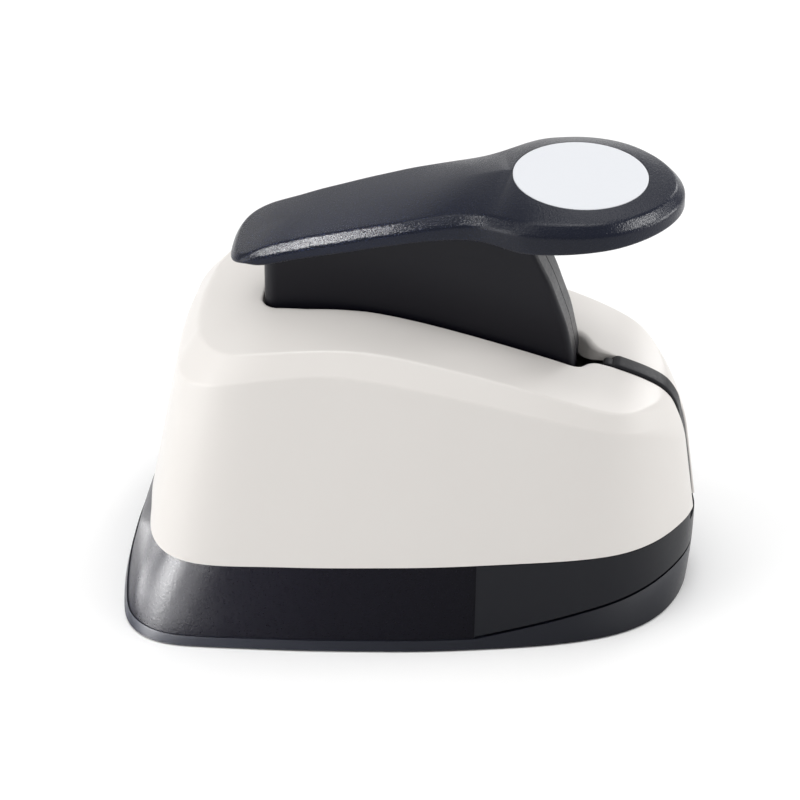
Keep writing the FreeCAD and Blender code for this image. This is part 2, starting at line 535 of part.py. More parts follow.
for s, y in CUTTER_SCREWS:
    carrier = carrier.cut(local_cyl(1.3, s, y, CUT_T, CUT_T + 2.2))
    cutter = cutter.cut(local_cyl(1.5, s, y, CUT_T - 3, CUT_T)).cut(local_cyl(2.6, s, y, CUT_T - 3, CUT_T - 1.2))
    h = cyl(2.6, (s, y, CUT_T - 2.5), (0, 0, 1), 1.3).fuse(cyl(1.5, (s, y, CUT_T - 1.2), (0, 0, 1), 1.2)).fuse(
        cyl(1.3, (s, y, CUT_T), (0, 0, 1), 2.2))
    h = h.cut(box(s - 1.7, s + 1.7, y - 0.3, y + 0.3, CUT_T - 2.6, CUT_T - 1.9))
    cutter_screws.append(tilt(one(h)))
carrier = one(carrier)
cutter = one(cutter)

# springs
seat_z = 4.6
spring_seat = zcyl(6.75, 3.0, 0, seat_z, seat_z + 3.4).cut(zcyl(5.9, 3.0, 0, seat_z + 1.4, 30)).fuse(
    zcyl(4.0, 3.0, 0, seat_z, seat_z + 7.0))
spring_seat = one(spring_seat)
web_rest = press_down_pt(3.0, WEB_Z[0])
ret_top = min(press_down_pt(8.8, WEB_Z[0])[1], press_down_pt(-2.8, WEB_Z[0])[1]) - 0.15
return_spring = spring(3.0, 0.0, seat_z + 1.45, ret_top, 5.0, 1.3, 7)
carrier_springs = []
for sy in (1, -1):
    s = spring(0, 0, 0, CUT_T - SLOT_H - GUIDE_T - 0.1, 1.95, 0.55, 5)
    s.translate(V(PUNCH_S, sy * POST_Y, SLOT_H + GUIDE_T + 0.05))
    carrier_springs.append(tilt(s))

# ---------------------------------------------------------------- lever
# edge line of the handle's top face and its half width
HZ = [(-41.5, 80.2), (-40, 81.5), (-38, 82.8), (-36, 83.9), (-33, 85.5), (-30, 86.8), (-26, 88.2), (-22, 89.6),
      (-18, 90.8), (-14, 92.0), (-10, 93.2), (-6, 94.3), (-2, 95.4), (2, 96.4), (6, 97.35), (10, 98.2), (14, 98.95),
      (18, 99.7), (22, 100.35), (26, 100.85), (31, 101.25), (37, 101.55), (43, 101.65), (50, 101.65), (57, 101.6),
      (61, 101.55)]
HW = [(-40.3, 0), (-40.2, 5.0), (-39.9, 8.6), (-38.6, 10.6), (-35.5, 11.5), (-31, 11.9), (-26, 12.2), (-20, 12.7),
      (-14, 13.2), (-8, 13.6), (-2, 14.0), (4, 14.1), (9, 14.2), (13, 14.6), (16, 15.4), (19, 16.8), (22.5, 18.8),
      (26.5, 20.6), (31, 21.4), (36, 21.6), (41, 21.0), (46, 19.4), (50.5, 16.6), (54.5, 12.8), (57.8, 7.9),
      (59.4, 3.5), (59.8, 0)]
EDGE_T = 4.6
CROWN = 0.3
DISC_X, DISC_R = 36.9, 15.0


def hz(x):
    return lin(HZ, x)


HLOW = [(-41.5, 81.3), (-40, 81.1), (-38, 80.6), (-36, 80.3), (-34, 80.5), (-31.8, 81.2), (-28, 82.6), (-22, 84.8),
        (-14, 87.2), (-6, 89.4), (2, 91.3), (10, 92.6), (18, 93.5), (24, 93.8), (31, 94.4), (37, 95.0), (43, 95.5),
        (50, 95.9), (57, 96.2), (61, 96.3)]


def handle_form(inset, drop_top, thick=None):
    """Plan outline moved in by inset, under the top line less drop_top; down to the lower line or thick below the top."""
    w = ring_wire(HW, 60.0, inset)
    plan = Part.Face(w).extrude(V(0, 0, 60))
    top = [(x, z + CROWN - drop_top) for x, z in HZ]
    low = HLOW if thick is None else [(x, z + CROWN - drop_top - thick) for x, z in HZ]
    e1, e2 = curve_xz(top, -40), curve_xz(low, -40)
    wire = Part.Wire([e1, Part.makeLine(V(top[-1][0], -40, top[-1][1]), V(low[-1][0], -40, low[-1][1])), e2,
                      Part.makeLine(V(low[0][0], -40, low[0][1]), V(top[0][0], -40, top[0][1]))])
    return plan.common(Part.Face(wire).extrude(V(0, 80, 0)))


handle = one(handle_form(0.0, 0.0, 9.0))
top_edges = []
for e in handle.Edges:
    ps = [e.valueAt(e.FirstParameter + (e.LastParameter - e.FirstParameter) * k / 6.0) for k in range(7)]
    if all(abs(q.z - hz(q.x) - CROWN) < 0.35 for q in ps):
        top_edges.append(e)
for size in (1.9, 1.5, 1.0):
    try:
        bev = handle.makeChamfer(size, top_edges)
        if bev.isValid() and 0 < bev.Volume < handle.Volume:
            handle = one(bev)
            print("handle bevel %.1f on %d edges" % (size, len(top_edges)))
            break
    except Exception:
        print("handle bevel %.1f not possible" % size)
handle = one(handle.cut(band_xz(HLOW, 20.0, -30, 30)))
pocket = handle_form(2.4, 2.8, 9.0).cut(box(-60, 34, -8.4, 8.4, 50, 120)).common(box(-29, 60, -40, 40, 60, 120))
handle = handle.cut(pocket)
# recess for the disc
disc_tilt = math.degrees(math.atan2(hz(DISC_X + 12) - hz(DISC_X - 12), 24.0))
DISC_Z = hz(DISC_X) + 1.45


def on_pad(shape):
    s = shape.copy()
    s.rotate(V(0, 0, 0), V(0, 1, 0), -disc_tilt)
    s.translate(V(DISC_X, 0, DISC_Z))
    return s


handle = handle.fuse(on_pad(Part.makeCone(19.3, 15.9, 1.25, V(0, 0, -1.45), V(0, 0, 1))))
handle = handle.cut(on_pad(zcyl(DISC_R + 0.1, 0, 0, -1.9, 5)))
handle = one(handle)
disc = zcyl(DISC_R, 0, 0, -1.9, 0.0)
disc = disc.makeFillet(0.3, [e for e in disc.Edges if abs(e.CenterOfMass.z) < 0.01])
disc = on_pad(disc)

# fin halves: side outline at rest
def arc_pts(r, a0, a1, n):
    return [(PX + r * math.cos(math.radians(a0 + (a1 - a0) * i / n)), PZ + r * math.sin(math.radians(a0 + (a1 - a0) * i / n)))
            for i in range(n + 1)]


FRONT = [(37.0, 55.6), (36.95, 58.3), (36.3, 61.9), (35.0, 67.8), (33.2, 73.1), (31.6, 77.7), (29.5, 82.3), (27.8, 85.9),
         (25.8, 89.4), (23.6, 92.8)]
hub = arc_pts(7.6, 188, 262, 6)
fin_pts = [(-32.7, 90.0), (-32.7, 66.6)] + [(-34.0, 64.4)] + [(PX - 7.0, PZ + 3.0)] + hub + [
    (-24.0, 50.4), (DOW_X - 6.0, DOW_Z + 0.6), (DOW_X + 1.0, DOW_Z + 0.9), (20.0, 51.9), (30.0, 54.6), (34.0, 55.6)]
front_edge = curve_xz(FRONT, -FIN_Y)
loop = [V(x, -FIN_Y, z) for x, z in [FRONT[-1], (18.0, 101.0), (-6.0, 101.0)] + fin_pts + [FRONT[0]]]
fin_out = Part.Face(Part.Wire([front_edge] + [Part.makeLine(a, b) for a, b in zip(loop, loop[1:])])).extrude(V(0, 2 * FIN_Y, 0))
fin_out = fin_out.common(band_xz([(x, z - 3.2) for x, z in HZ], 20.0, -30, 30))
fin_out = one(fin_out)
# the nose of the fin is rounded across its width
nose_edges = []
heel_edges = []
for e in fin_out.Edges:
    m = e.valueAt((e.FirstParameter + e.LastParameter) / 2.0)
    on_front = e.Length > 25 and m.x > 28.0
    on_rear = abs(m.x + 32.7) < 0.01 and e.Length > 8
    if abs(abs(m.y) - FIN_Y) < 1e-3 and on_front:
        nose_edges.append(e)
    if abs(abs(m.y) - FIN_Y) < 1e-3 and on_rear:
        heel_edges.append(e)
print("fin edges", len(nose_edges), len(heel_edges))
try:
    f2 = fin_out.makeFillet(1.3, nose_edges)
    if f2.isValid():
        fin_out = one(f2)
except Exception:
    print("fin nose left square")
# the heel is rounded more
heel = box(-33.2, -32.7 + FIN_HEEL_R, -20, -FIN_Y + FIN_HEEL_R, 30, 120).cut(
    Part.makeCylinder(FIN_HEEL_R, 200.0, V(-32.7 + FIN_HEEL_R, -FIN_Y + FIN_HEEL_R, -20.0), V(0, 0, 1)))
heel = heel.common(box(-40, 40, -20, 20, 66.6, 120))
heel_l = heel.mirror(V(0, 0, 0), V(0, 1, 0))
f3 = fin_out.cut(heel).cut(heel_l)
print("heel valid", f3.isValid(), len(f3.Solids), fin_out.Volume - f3.Volume)
fin_out = one(f3)
fin_left = fin_out.common(box(-60, 60, -10, -0.18, 30, 120))
fin_right = fin_out.common(box(-60, 60, 0.18, 10, 30, 120))

# steel core between the halves
def back(x, z):
    return rot_pt(x, z, PX, PZ, -LEVER_MAX)


CORE_R = 67.4


def arc_x(z):
    return PX + math.sqrt(CORE_R ** 2 - (z - PZ) ** 2)


HOOK_Z = (33.4, 36.0)       # hook of the lock bar, pushed home
core_down = [(DOWN_DOW[0] - 4.0, 31.8), (22.0, 31.8), (25.0, 29.9), (arc_x(29.9), 29.9), (arc_x(33.15), 33.15), (29.6, 33.15),
             (29.6, 36.35), (arc_x(36.35), 36.35)]
core_rest = [back(*p) for p in core_down]
a0 = math.degrees(math.atan2(core_rest[-1][1] - PZ, core_rest[-1][0] - PX))
core_pts = core_rest + [(34.0, 60.5), (32.6, 66.8), (30.7, 72.4), (28.9, 77.2), (26.5, 82.0), (20.0, 85.0), (-12.0, 76.0),
                        (-30.0, 64.0)] + arc_pts(7.0, 100, 262, 8)
core = poly_xz(core_pts, -CORE_Y, CORE_Y).fuse(ycyl(5.2, DOW_X, DOW_Z, -CORE_Y, CORE_Y))
core = core.cut(ycyl(PIN_P_R + RUN, PX, PZ, -10, 10))
core = core.cut(ycyl(DOWEL_R, DOW_X, DOW_Z, -10, 10))
LEVER_SCREWS = [(-22.0, 74.0), (4.0, 80.0), (22.0, 76.0)]
for x, z in LEVER_SCREWS:
    core = core.cut(ycyl(1.75, x, z, -10, 10))
for x, z in ((-6.0, 62.0), (10.0, 66.0)):
    core = core.cut(ycyl(4.0, x, z, -10, 10))
core = one(core)
dowel = ycyl(DOWEL_R, DOW_X, DOW_Z, -6.2, 6.2)
dowel = dowel.makeFillet(0.4, dowel.Edges[:1] + dowel.Edges[2:3]) if False else dowel

core_pocket = poly_xz(core_pts, -CORE_Y - 0.05, CORE_Y + 0.05).fuse(ycyl(5.4, DOW_X, DOW_Z, -CORE_Y - 0.05, CORE_Y + 0.05))
core_pocket = core_pocket.fuse(ycyl(7.0, PX, PZ, -CORE_Y - 0.05, CORE_Y + 0.05))
notch = turned(box(29.3, 45, -CORE_Y - 0.05, CORE_Y + 0.05, 32.9, 36.6), PX, PZ, -LEVER_MAX)
core_pocket = core_pocket.fuse(notch)
halves = []
for f, sgn in ((fin_left, -1), (fin_right, 1)):
    f = f.cut(core_pocket)
    f = f.cut(ycyl(PIN_P_R + RUN, PX, PZ, -20, 20)).cut(ycyl(DOWEL_R, DOW_X, DOW_Z, -6.2, 6.2))
    halves.append(f)
# hollow inside each half, leaving a 2 mm wall and posts for the screws
inner = poly_xz([(-26, 62), (-24, 80), (8, 88), (21, 88), (27.5, 78), (30.2, 66), (22, 59), (6, 56), (-12, 58)], -4.4, 4.4)
inner = inner.cut(box(-60, 60, -CORE_Y - 0.6, CORE_Y + 0.6, 0, 120))
for x, z in LEVER_SCREWS:
    inner = inner.cut(ycyl(3.6, x, z, -10, 10))
HANDLE_SCREWS = [(24.9, 3.9), (24.9, -3.9)]
for x, y in HANDLE_SCREWS:
    inner = inner.cut(box(x - 3.2, 40, -6.5, 6.5, 80, 100))
halves = [h.cut(inner) for h in halves]
lever_screws = []
for x, z in LEVER_SCREWS:
    halves[1] = halves[1].cut(ycyl(1.75, x, z, 0, 10)).cut(ycyl(2.9, x, z, 4.7, 10))
    halves[0] = halves[0].cut(ycyl(1.4, x, z, -5.0, 0))
    s = ycyl(2.7, x, z, 4.7, 6.2).fuse(ycyl(1.4, x, z, -4.8, 4.7))
    s = s.cut(box(x - 1.8, x + 1.8, 5.3, 7, z - 0.35, z + 0.35)).cut(box(x - 0.35, x + 0.35, 5.3, 7, z - 1.8, z + 1.8))
    lever_screws.append(one(s))
handle_screws = []
for x, y in HANDLE_SCREWS:
    hzt = DISC_Z - 3.0
    handle = handle.cut(zcyl(1.5, x, y, 90, 110)).cut(zcyl(2.4, x, y, hzt - 1.3, 110))
    for k in (0, 1):
        halves[k] = halves[k].cut(zcyl(1.2, x, y, 84.5, 100))
    s = zcyl(2.3, x, y, hzt - 1.3, hzt).fuse(zcyl(1.2, x, y, 85.0, hzt - 1.3))
    s = s.cut(box(x - 1.6, x + 1.6, y - 0.3, y + 0.3, hzt - 0.7, hzt + 1))
    handle_screws.append(one(s))
handle = handle.cut(fin_out)
handle = one(handle)
halves = [one(h) for h in halves]

# ---------------------------------------------------------------- lock bar
def outer_line(off):
    """Line that follows the cover's top and nose at a distance."""
    out = []
    for x in (43.4, 44.6, 46.6, 48.0, 50.0, 52.0, 54.0, 55.5, 57.0, 58.3, 59.5, 60.5, 61.3, 62.0, 62.6, 63.2, 63.6, 64.0, 64.4):
        nx, nz = top_normal(x)
        z = lin(TOP, x)
        if off > 0:
            # proud on top, sunk below the cover's skin down the nose
            o = lin([(21.0, -BAR_SUNK), (36.0, -BAR_SUNK), (43.5, -0.45), (47.0, 0.2), (50.5, off), (80.0, off)], z)
        else:
            o = max(off, -1.6 + (off + 1.6) * min(1.0, max(0.0, (z - 38.0) / 9.0)))
        out.append((x + nx * o, z + nz * o))
    x, z = out[-1]
    out.append((x + 0.2, 21.2))
    return out


bar_up = [p for p in outer_line(0.6) if p[0] > 46.4]
bar_low = [p for p in outer_line(-3.2) if p[0] > 46.4]
bar = poly_xz(bar_up + list(reversed(bar_low)), -2.3, 2.3)
tail = ycyl(1.9, bar_up[0][0], bar_up[0][1] - 1.95, -2.3, 2.3)
bar = bar.fuse(tail.common(poly_xz([(40, 30), (bar_up[0][0] + 0.5, 30), (bar_up[0][0] + 0.5, 70), (40, 70)], -3, 3)))
tongue_up = [p for p in outer_line(-0.3) if p[0] < 49.0]
tongue_dn = [p for p in outer_line(-3.1) if p[0] < 49.0]
bar = bar.fuse(poly_xz(tongue_up + list(reversed(tongue_dn)), -1.5, 1.5))
flange_up = [(x, z) for x, z in outer_line(-2.75) if 43.5 < x < 53]
flange_dn = [(x, z) for x, z in outer_line(-4.6) if 43.5 < x < 53]
flange = poly_xz(flange_up + list(reversed(flange_dn)), -4.6, 4.6)
# hook and web, at rest 4 mm forward of home
dx = SLIDE_TRAVEL * math.cos(math.radians(SLIDE_ANG))
dz = SLIDE_TRAVEL * math.sin(math.radians(SLIDE_ANG))
hook_home = [(30.4, HOOK_Z[0]), (30.4, HOOK_Z[1]), (50.6, HOOK_Z[1]), (56.2, 41.0), (56.4, 46.2), (59.2, 46.2), (59.2, HOOK_Z[0])]
hook = poly_xz([(x + dx, z - dz) for x, z in hook_home], -1.25, 1.25).common(
    poly_xz(outer_line(-1.0) + [(20, 21.0), (20, 70)], -5, 5))
lock = bar.fuse(flange).fuse(hook)
lock = one(lock)

# keep the press lever's front clear of the bar
# ---------------------------------------------------------------- output
save("bottom_plate", plate)
save("base_skirt", skirt)
save("front_housing", front)
save("cover_shell", cover)
save("rubber_feet", group(feet))
save("base_screws", group(base_screws))
save("cover_screws", group(cover_screws))
save("housing_screws", group(housing_screws))
save("die_plate", die)
save("die_screws", group(die_screws))
save("guide_plate", guide)
save("guide_screws", group(guide_screws))
save("guide_posts", group(posts))
save("chassis_left", plates[1])
save("chassis_right", plates[0])
save("chassis_spacers", group(tie))
save("chassis_screws", group(chassis_screws))
save("lever_pivot_pin", one(pin_p))
save("press_pivot_pin", one(pin_q))
save("retaining_clips", group(clips))
save("lever_bushes", group(bushes_p))
save("press_bushes", group(bushes_q))
save("spring_seat", spring_seat)
save("return_spring", one(return_spring))
save("lifter_springs", group([one(s) for s in carrier_springs]))
save("lever_handle", handle)
save("fin_right", halves[0])
save("fin_left", halves[1])
save("lever_core", core)
save("press_dowel", dowel)
save("lever_screws", group(lever_screws))
save("handle_screws", group(handle_screws))
save("handle_disc", disc)
save("press_lever", press_lever)
save("punch_carrier", carrier)
save("punch_cutter", cutter)
save("cutter_screws", group(cutter_screws))
save("lock_bar", lock)
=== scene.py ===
import bpy
import json
import math
import numpy as np
from mathutils import Matrix

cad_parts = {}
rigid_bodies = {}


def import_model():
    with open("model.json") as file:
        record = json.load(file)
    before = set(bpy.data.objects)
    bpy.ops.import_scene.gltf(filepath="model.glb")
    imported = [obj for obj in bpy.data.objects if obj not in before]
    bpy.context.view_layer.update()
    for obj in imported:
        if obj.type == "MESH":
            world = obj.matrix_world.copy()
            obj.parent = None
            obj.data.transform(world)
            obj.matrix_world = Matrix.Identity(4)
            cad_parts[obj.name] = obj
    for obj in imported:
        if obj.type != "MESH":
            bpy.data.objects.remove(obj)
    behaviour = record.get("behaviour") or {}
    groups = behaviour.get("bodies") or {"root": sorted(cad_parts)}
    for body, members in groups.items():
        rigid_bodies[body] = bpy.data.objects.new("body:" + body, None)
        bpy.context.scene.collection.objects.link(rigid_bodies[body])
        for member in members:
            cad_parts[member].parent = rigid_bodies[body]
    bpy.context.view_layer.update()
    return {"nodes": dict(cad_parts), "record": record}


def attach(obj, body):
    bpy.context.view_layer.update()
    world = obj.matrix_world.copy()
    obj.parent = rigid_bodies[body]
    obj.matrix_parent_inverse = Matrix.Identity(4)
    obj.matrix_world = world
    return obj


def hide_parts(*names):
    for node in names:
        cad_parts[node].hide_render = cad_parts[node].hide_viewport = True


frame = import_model()
NODES = frame["nodes"]
MM = 0.001

# ------------------------------------------------------------------ curves


def periodic(t, p, period):
    """Closed cubic spline through the points p at the parameters t."""
    t, p = np.asarray(t, float), np.asarray(p, float)
    n = len(t)
    h = np.diff(np.append(t, t[0] + period))
    a = np.zeros((n, n))
    rhs = np.zeros((n, p.shape[1]))
    for i in range(n):
        hm, hi = h[i - 1], h[i]
        a[i, (i - 1) % n] += hm
        a[i, i] += 2 * (hm + hi)
        a[i, (i + 1) % n] += hi
        rhs[i] = 6 * ((p[(i + 1) % n] - p[i]) / hi - (p[i] - p[i - 1]) / hm)
    m = np.linalg.solve(a, rhs)

    def f(u):
        u = (np.atleast_1d(np.asarray(u, float)) - t[0]) % period + t[0]
        k = np.clip(np.searchsorted(t, u, side="right") - 1, 0, n - 1)
        k1 = (k + 1) % n
        hh = h[k][:, None]
        d1 = (u - t[k])[:, None]
        d0 = hh - d1
        return (m[k] * d0 ** 3 / (6 * hh) + m[k1] * d1 ** 3 / (6 * hh)
                + (p[k] / hh - m[k] * hh / 6) * d0 + (p[k1] / hh - m[k1] * hh / 6) * d1)
    return f


def natural(x, y):
    """Open cubic spline y(x), straight beyond its ends."""
    x, y = np.asarray(x, float), np.asarray(y, float)
    n = len(x)
    h = np.diff(x)
    a = np.zeros((n, n))
    r = np.zeros(n)
    a[0, 0] = a[-1, -1] = 1
    for i in range(1, n - 1):
        a[i, i - 1], a[i, i], a[i, i + 1] = h[i - 1], 2 * (h[i - 1] + h[i]), h[i]
        r[i] = 6 * ((y[i + 1] - y[i]) / h[i] - (y[i] - y[i - 1]) / h[i - 1])
    m = np.linalg.solve(a, r)

    def f(u):
        u = np.asarray(u, float)
        k = np.clip(np.searchsorted(x, u, side="right") - 1, 0, n - 2)
        hh = h[k]
        d1 = u - x[k]
        d0 = x[k + 1] - u
        v = (m[k] * d0 ** 3 / (6 * hh) + m[k + 1] * d1 ** 3 / (6 * hh)
             + (y[k] / hh - m[k] * hh / 6) * d0 + (y[k + 1] / hh - m[k + 1] * hh / 6) * d1)
        s0 = (y[1] - y[0]) / h[0] - m[1] * h[0] / 6
        s1 = (y[-1] - y[-2]) / h[-1] + m[-2] * h[-1] / 6
        v = np.where(u < x[0], y[0] + s0 * (u - x[0]), v)
        return np.where(u > x[-1], y[-1] + s1 * (u - x[-1]), v)
    return f


def ring_params(half):
    p = np.array(half)
    d = np.concatenate([[0], np.cumsum(np.hypot(*np.diff(p, axis=0).T))])
    return d / d[-1]


def ring(half, tt):
    """Closed outline f(t), t in 0..1 from the rear to the nose on the side of +Y, 1..2 back on -Y."""
    p = np.array(half, float)
    full = np.concatenate([p, (p * [1, -1])[-2:0:-1]])
    tf = np.concatenate([tt, (2 - tt)[-2:0:-1]])
    return periodic(tf, full, 2.0)


# ------------------------------------------------------------------ outlines, millimetres
B0 = [(-65.0, 0), (-64.8, 10), (-64.1, 18.7), (-62.8, 27.8), (-61.1, 34.0), (-57.8, 38.7), (-52.5, 41.7),
      (-44, 42.5), (-33, 42.1), (-21, 41.5), (-8, 40.4), (5, 39.0), (16.5, 37.1), (26.5, 35.1), (35, 33.0),
      (42, 30.7), (48.2, 27.9), (53, 24.7), (57, 20.6), (60.3, 15.0), (62.6, 7.7), (63.4, 0)]
C20 = [(-59.1, 0), (-58.7, 9), (-57.6, 17.3), (-56.1, 26.7), (-54.4, 30.9), (-51.4, 34.9), (-47.3, 37.5),
       (-40, 38.7), (-30, 38.1), (-18, 37.2), (-5, 35.8), (8, 34.1), (19, 32.1), (28, 30.3), (36, 28.6), (43, 26.7),
       (49, 24.3), (53.7, 21.2), (58.0, 16.8), (61.5, 11.4), (63.9, 5.8), (64.7, 0)]
C70 = [(-49.6, 0), (-49.4, 7), (-49.0, 13.5), (-48.2, 19.0), (-47.0, 22.4), (-45.0, 25.6), (-42.0, 28.2),
       (-37, 30.4), (-29, 30.6), (-18, 29.4), (-6, 28.4), (6, 27.5), (16, 26.6), (24.5, 26.0), (32, 25.4),
       (38.8, 24.4), (44.6, 22.6), (49.2, 19.8), (52.8, 15.8), (55.6, 10.8), (57.6, 5.4), (58.2, 0)]
UPP = [(-47.2, 0), (-47.1, 6.0), (-46.4, 11.8), (-45.4, 16.4), (-43.6, 20.6), (-41.6, 23.6), (-38.8, 26.2), (-33.8, 27.6),
       (-26.5, 27.5), (-16.0, 26.0), (-5, 24.65), (7.0, 24.1), (17.5, 23.6), (26.5, 23.35), (34, 23.3), (40.8, 22.6),
       (46.5, 21.1), (50.5, 18.6), (53.7, 14.4), (56.4, 9.6), (58.6, 4.8), (59.5, 0)]
ZL = [59.6, 59.6, 59.6, 59.8, 60.1, 60.7, 61.6, 63.1, 64.6, 65.6, 64.6, 62.2, 59.8, 57.6, 55.5, 53.4, 51.2, 49.4, 47.4,
      44.6, 41.6, 40.6]
TOP = [(-66, 61.2), (-56, 63.2), (-46, 66.0), (-38, 68.1), (-30, 69.45), (-23, 69.95), (-15.5, 70.0), (-5.4, 69.1),
       (4.7, 67.2), (14.7, 64.8), (24.8, 62.1), (33.0, 59.75), (40.0, 57.5), (45.0, 55.8), (50.0, 54.1), (54.0, 52.4),
       (57.0, 50.45), (59.6, 47.2), (61.4, 43.1), (62.6, 37.9), (63.6, 31.1), (64.4, 24.0), (64.9, 17.0)]
zt = natural(*np.array(TOP).T)
TC = ring_params(C20)


# ------------------------------------------------------------------ mesh helpers
def mesh(name, verts, faces, mat, angle=40.0, flat=()):
    me = bpy.data.meshes.new(name)
    me.from_pydata([tuple(v) for v in np.asarray(verts) * MM], [], faces)
    me.validate()
    me.polygons.foreach_set("use_smooth", [True] * len(me.polygons))
    o = bpy.data.objects.new(name, me)
    bpy.context.scene.collection.objects.link(o)
    me.materials.append(mat)
    import bmesh
    bm = bmesh.new()
    bm.from_mesh(me)
    bmesh.ops.remove_doubles(bm, verts=bm.verts, dist=2e-6)
    bmesh.ops.dissolve_degenerate(bm, dist=1e-6, edges=bm.edges)
    bmesh.ops.recalc_face_normals(bm, faces=bm.faces)
    for e in bm.edges:
        e.smooth = not (len(e.link_faces) == 2 and e.calc_face_angle(0.0) > math.radians(angle))
    bm.to_mesh(me)
    bm.free()
    return o


def grid_faces(nr, nc, base=0, wrap=False, flip=False):
    out = []
    for i in range(nr - 1):
        for j in range(nc if wrap else nc - 1):
            a, b = base + i * nc + j, base + i * nc + (j + 1) % nc
            c, d = base + (i + 1) * nc + (j + 1) % nc, base + (i + 1) * nc + j
            out.append((d, c, b, a) if flip else (a, b, c, d))
    return out


class Builder:
    def __init__(self):
        self.v, self.f = [], []

    def grid(self, rows, wrap=False, flip=False):
        """rows: array (nr, nc, 3)"""
        rows = np.asarray(rows, float)
        nr, nc = rows.shape[:2]
        base = sum(len(x) for x in self.v)
        self.v.append(rows.reshape(-1, 3))
        self.f += grid_faces(nr, nc, base, wrap, flip)

    def poly(self, loop):
        base = sum(len(x) for x in self.v)
        self.v.append(np.asarray(loop, float))
        self.f.append(tuple(range(base, base + len(loop))))

    def verts(self):
        return np.concatenate(self.v)


def mirrored(b):
    """Adds the mirror image across y = 0."""
    v = b.verts()
    n = len(v)
    b.f += [tuple(n + i for i in reversed(f)) for f in list(b.f)]
    b.v = [v, v * [1, -1, 1]]
    return b


def unit(v):
    return v / np.maximum(np.linalg.norm(v, axis=-1, keepdims=True), 1e-12)


def bez(p, a, b, k):
    """Rounded corner at p between the points a and b, k points."""
    s = np.linspace(0, 1, k)[:, None, None]
    return (1 - s) ** 2 * a + 2 * s * (1 - s) * p + s ** 2 * b


# ------------------------------------------------------------------ materials
def new_mat(name):
    m = bpy.data.materials.new(name)
    m.use_nodes = True
    nt = m.node_tree
    for n in list(nt.nodes):
        nt.nodes.remove(n)
    out = nt.nodes.new("ShaderNodeOutputMaterial")
    b = nt.nodes.new("ShaderNodeBsdfPrincipled")
    nt.links.new(b.outputs[0], out.inputs[0])
    return m, nt, b


def lin(c):
    return tuple((x / 255 / 12.92 if x / 255 <= 0.04045 else ((x / 255 + 0.055) / 1.055) ** 2.4) for x in c)


def plastic(name, col, rough, spec=0.5, noise=900.0, bump=0.1, dist=0.00004, vary=0.03, rvary=0.05, coat=0.0,
            speckle=0.0, speck_scale=2600.0, scale2=60.0):
    """Moulded plastic: broad tone change, fine skin, and optional spark-eroded grain."""
    m, nt, b = new_mat(name)
    L = nt.links.new
    tc = nt.nodes.new("ShaderNodeTexCoord")
    n1 = nt.nodes.new("ShaderNodeTexNoise")
    n1.inputs["Scale"].default_value = scale2
    n1.inputs["Detail"].default_value = 3.0
    L(tc.outputs["Object"], n1.inputs["Vector"])
    mix = nt.nodes.new("ShaderNodeMix")
    mix.data_type = "RGBA"
    mix.inputs[6].default_value = tuple(x * (1 - vary) for x in col) + (1,)
    mix.inputs[7].default_value = tuple(min(1.0, x * (1 + vary)) for x in col) + (1,)
    L(n1.outputs["Fac"], mix.inputs[0])
    L(mix.outputs[2], b.inputs["Base Color"])
    n2 = nt.nodes.new("ShaderNodeTexNoise")
    n2.inputs["Scale"].default_value = noise
    n2.inputs["Detail"].default_value = 2.0
    L(tc.outputs["Object"], n2.inputs["Vector"])
    mr = nt.nodes.new("ShaderNodeMapRange")
    mr.inputs["From Min"].default_value = 0.3
    mr.inputs["From Max"].default_value = 0.7
    mr.inputs["To Min"].default_value = max(0.02, rough - rvary)
    mr.inputs["To Max"].default_value = min(1.0, rough + rvary)
    L(n2.outputs["Fac"], mr.inputs["Value"])
    L(mr.outputs[0], b.inputs["Roughness"])
    bp = nt.nodes.new("ShaderNodeBump")
    bp.inputs["Strength"].default_value = bump
    bp.inputs["Distance"].default_value = dist
    if speckle:
        vor = nt.nodes.new("ShaderNodeTexVoronoi")
        vor.inputs["Scale"].default_value = speck_scale
        L(tc.outputs["Object"], vor.inputs["Vector"])
        add = nt.nodes.new("ShaderNodeMath")
        add.operation = "MULTIPLY_ADD"
        add.inputs[1].default_value = speckle
        L(vor.outputs["Distance"], add.inputs[0])
        L(n2.outputs["Fac"], add.inputs[2])
        L(add.outputs[0], bp.inputs["Height"])
    else:
        L(n2.outputs["Fac"], bp.inputs["Height"])
    L(bp.outputs[0], b.inputs["Normal"])
    b.inputs["Specular IOR Level"].default_value = spec
    b.inputs["Coat Weight"].default_value = coat
    return m


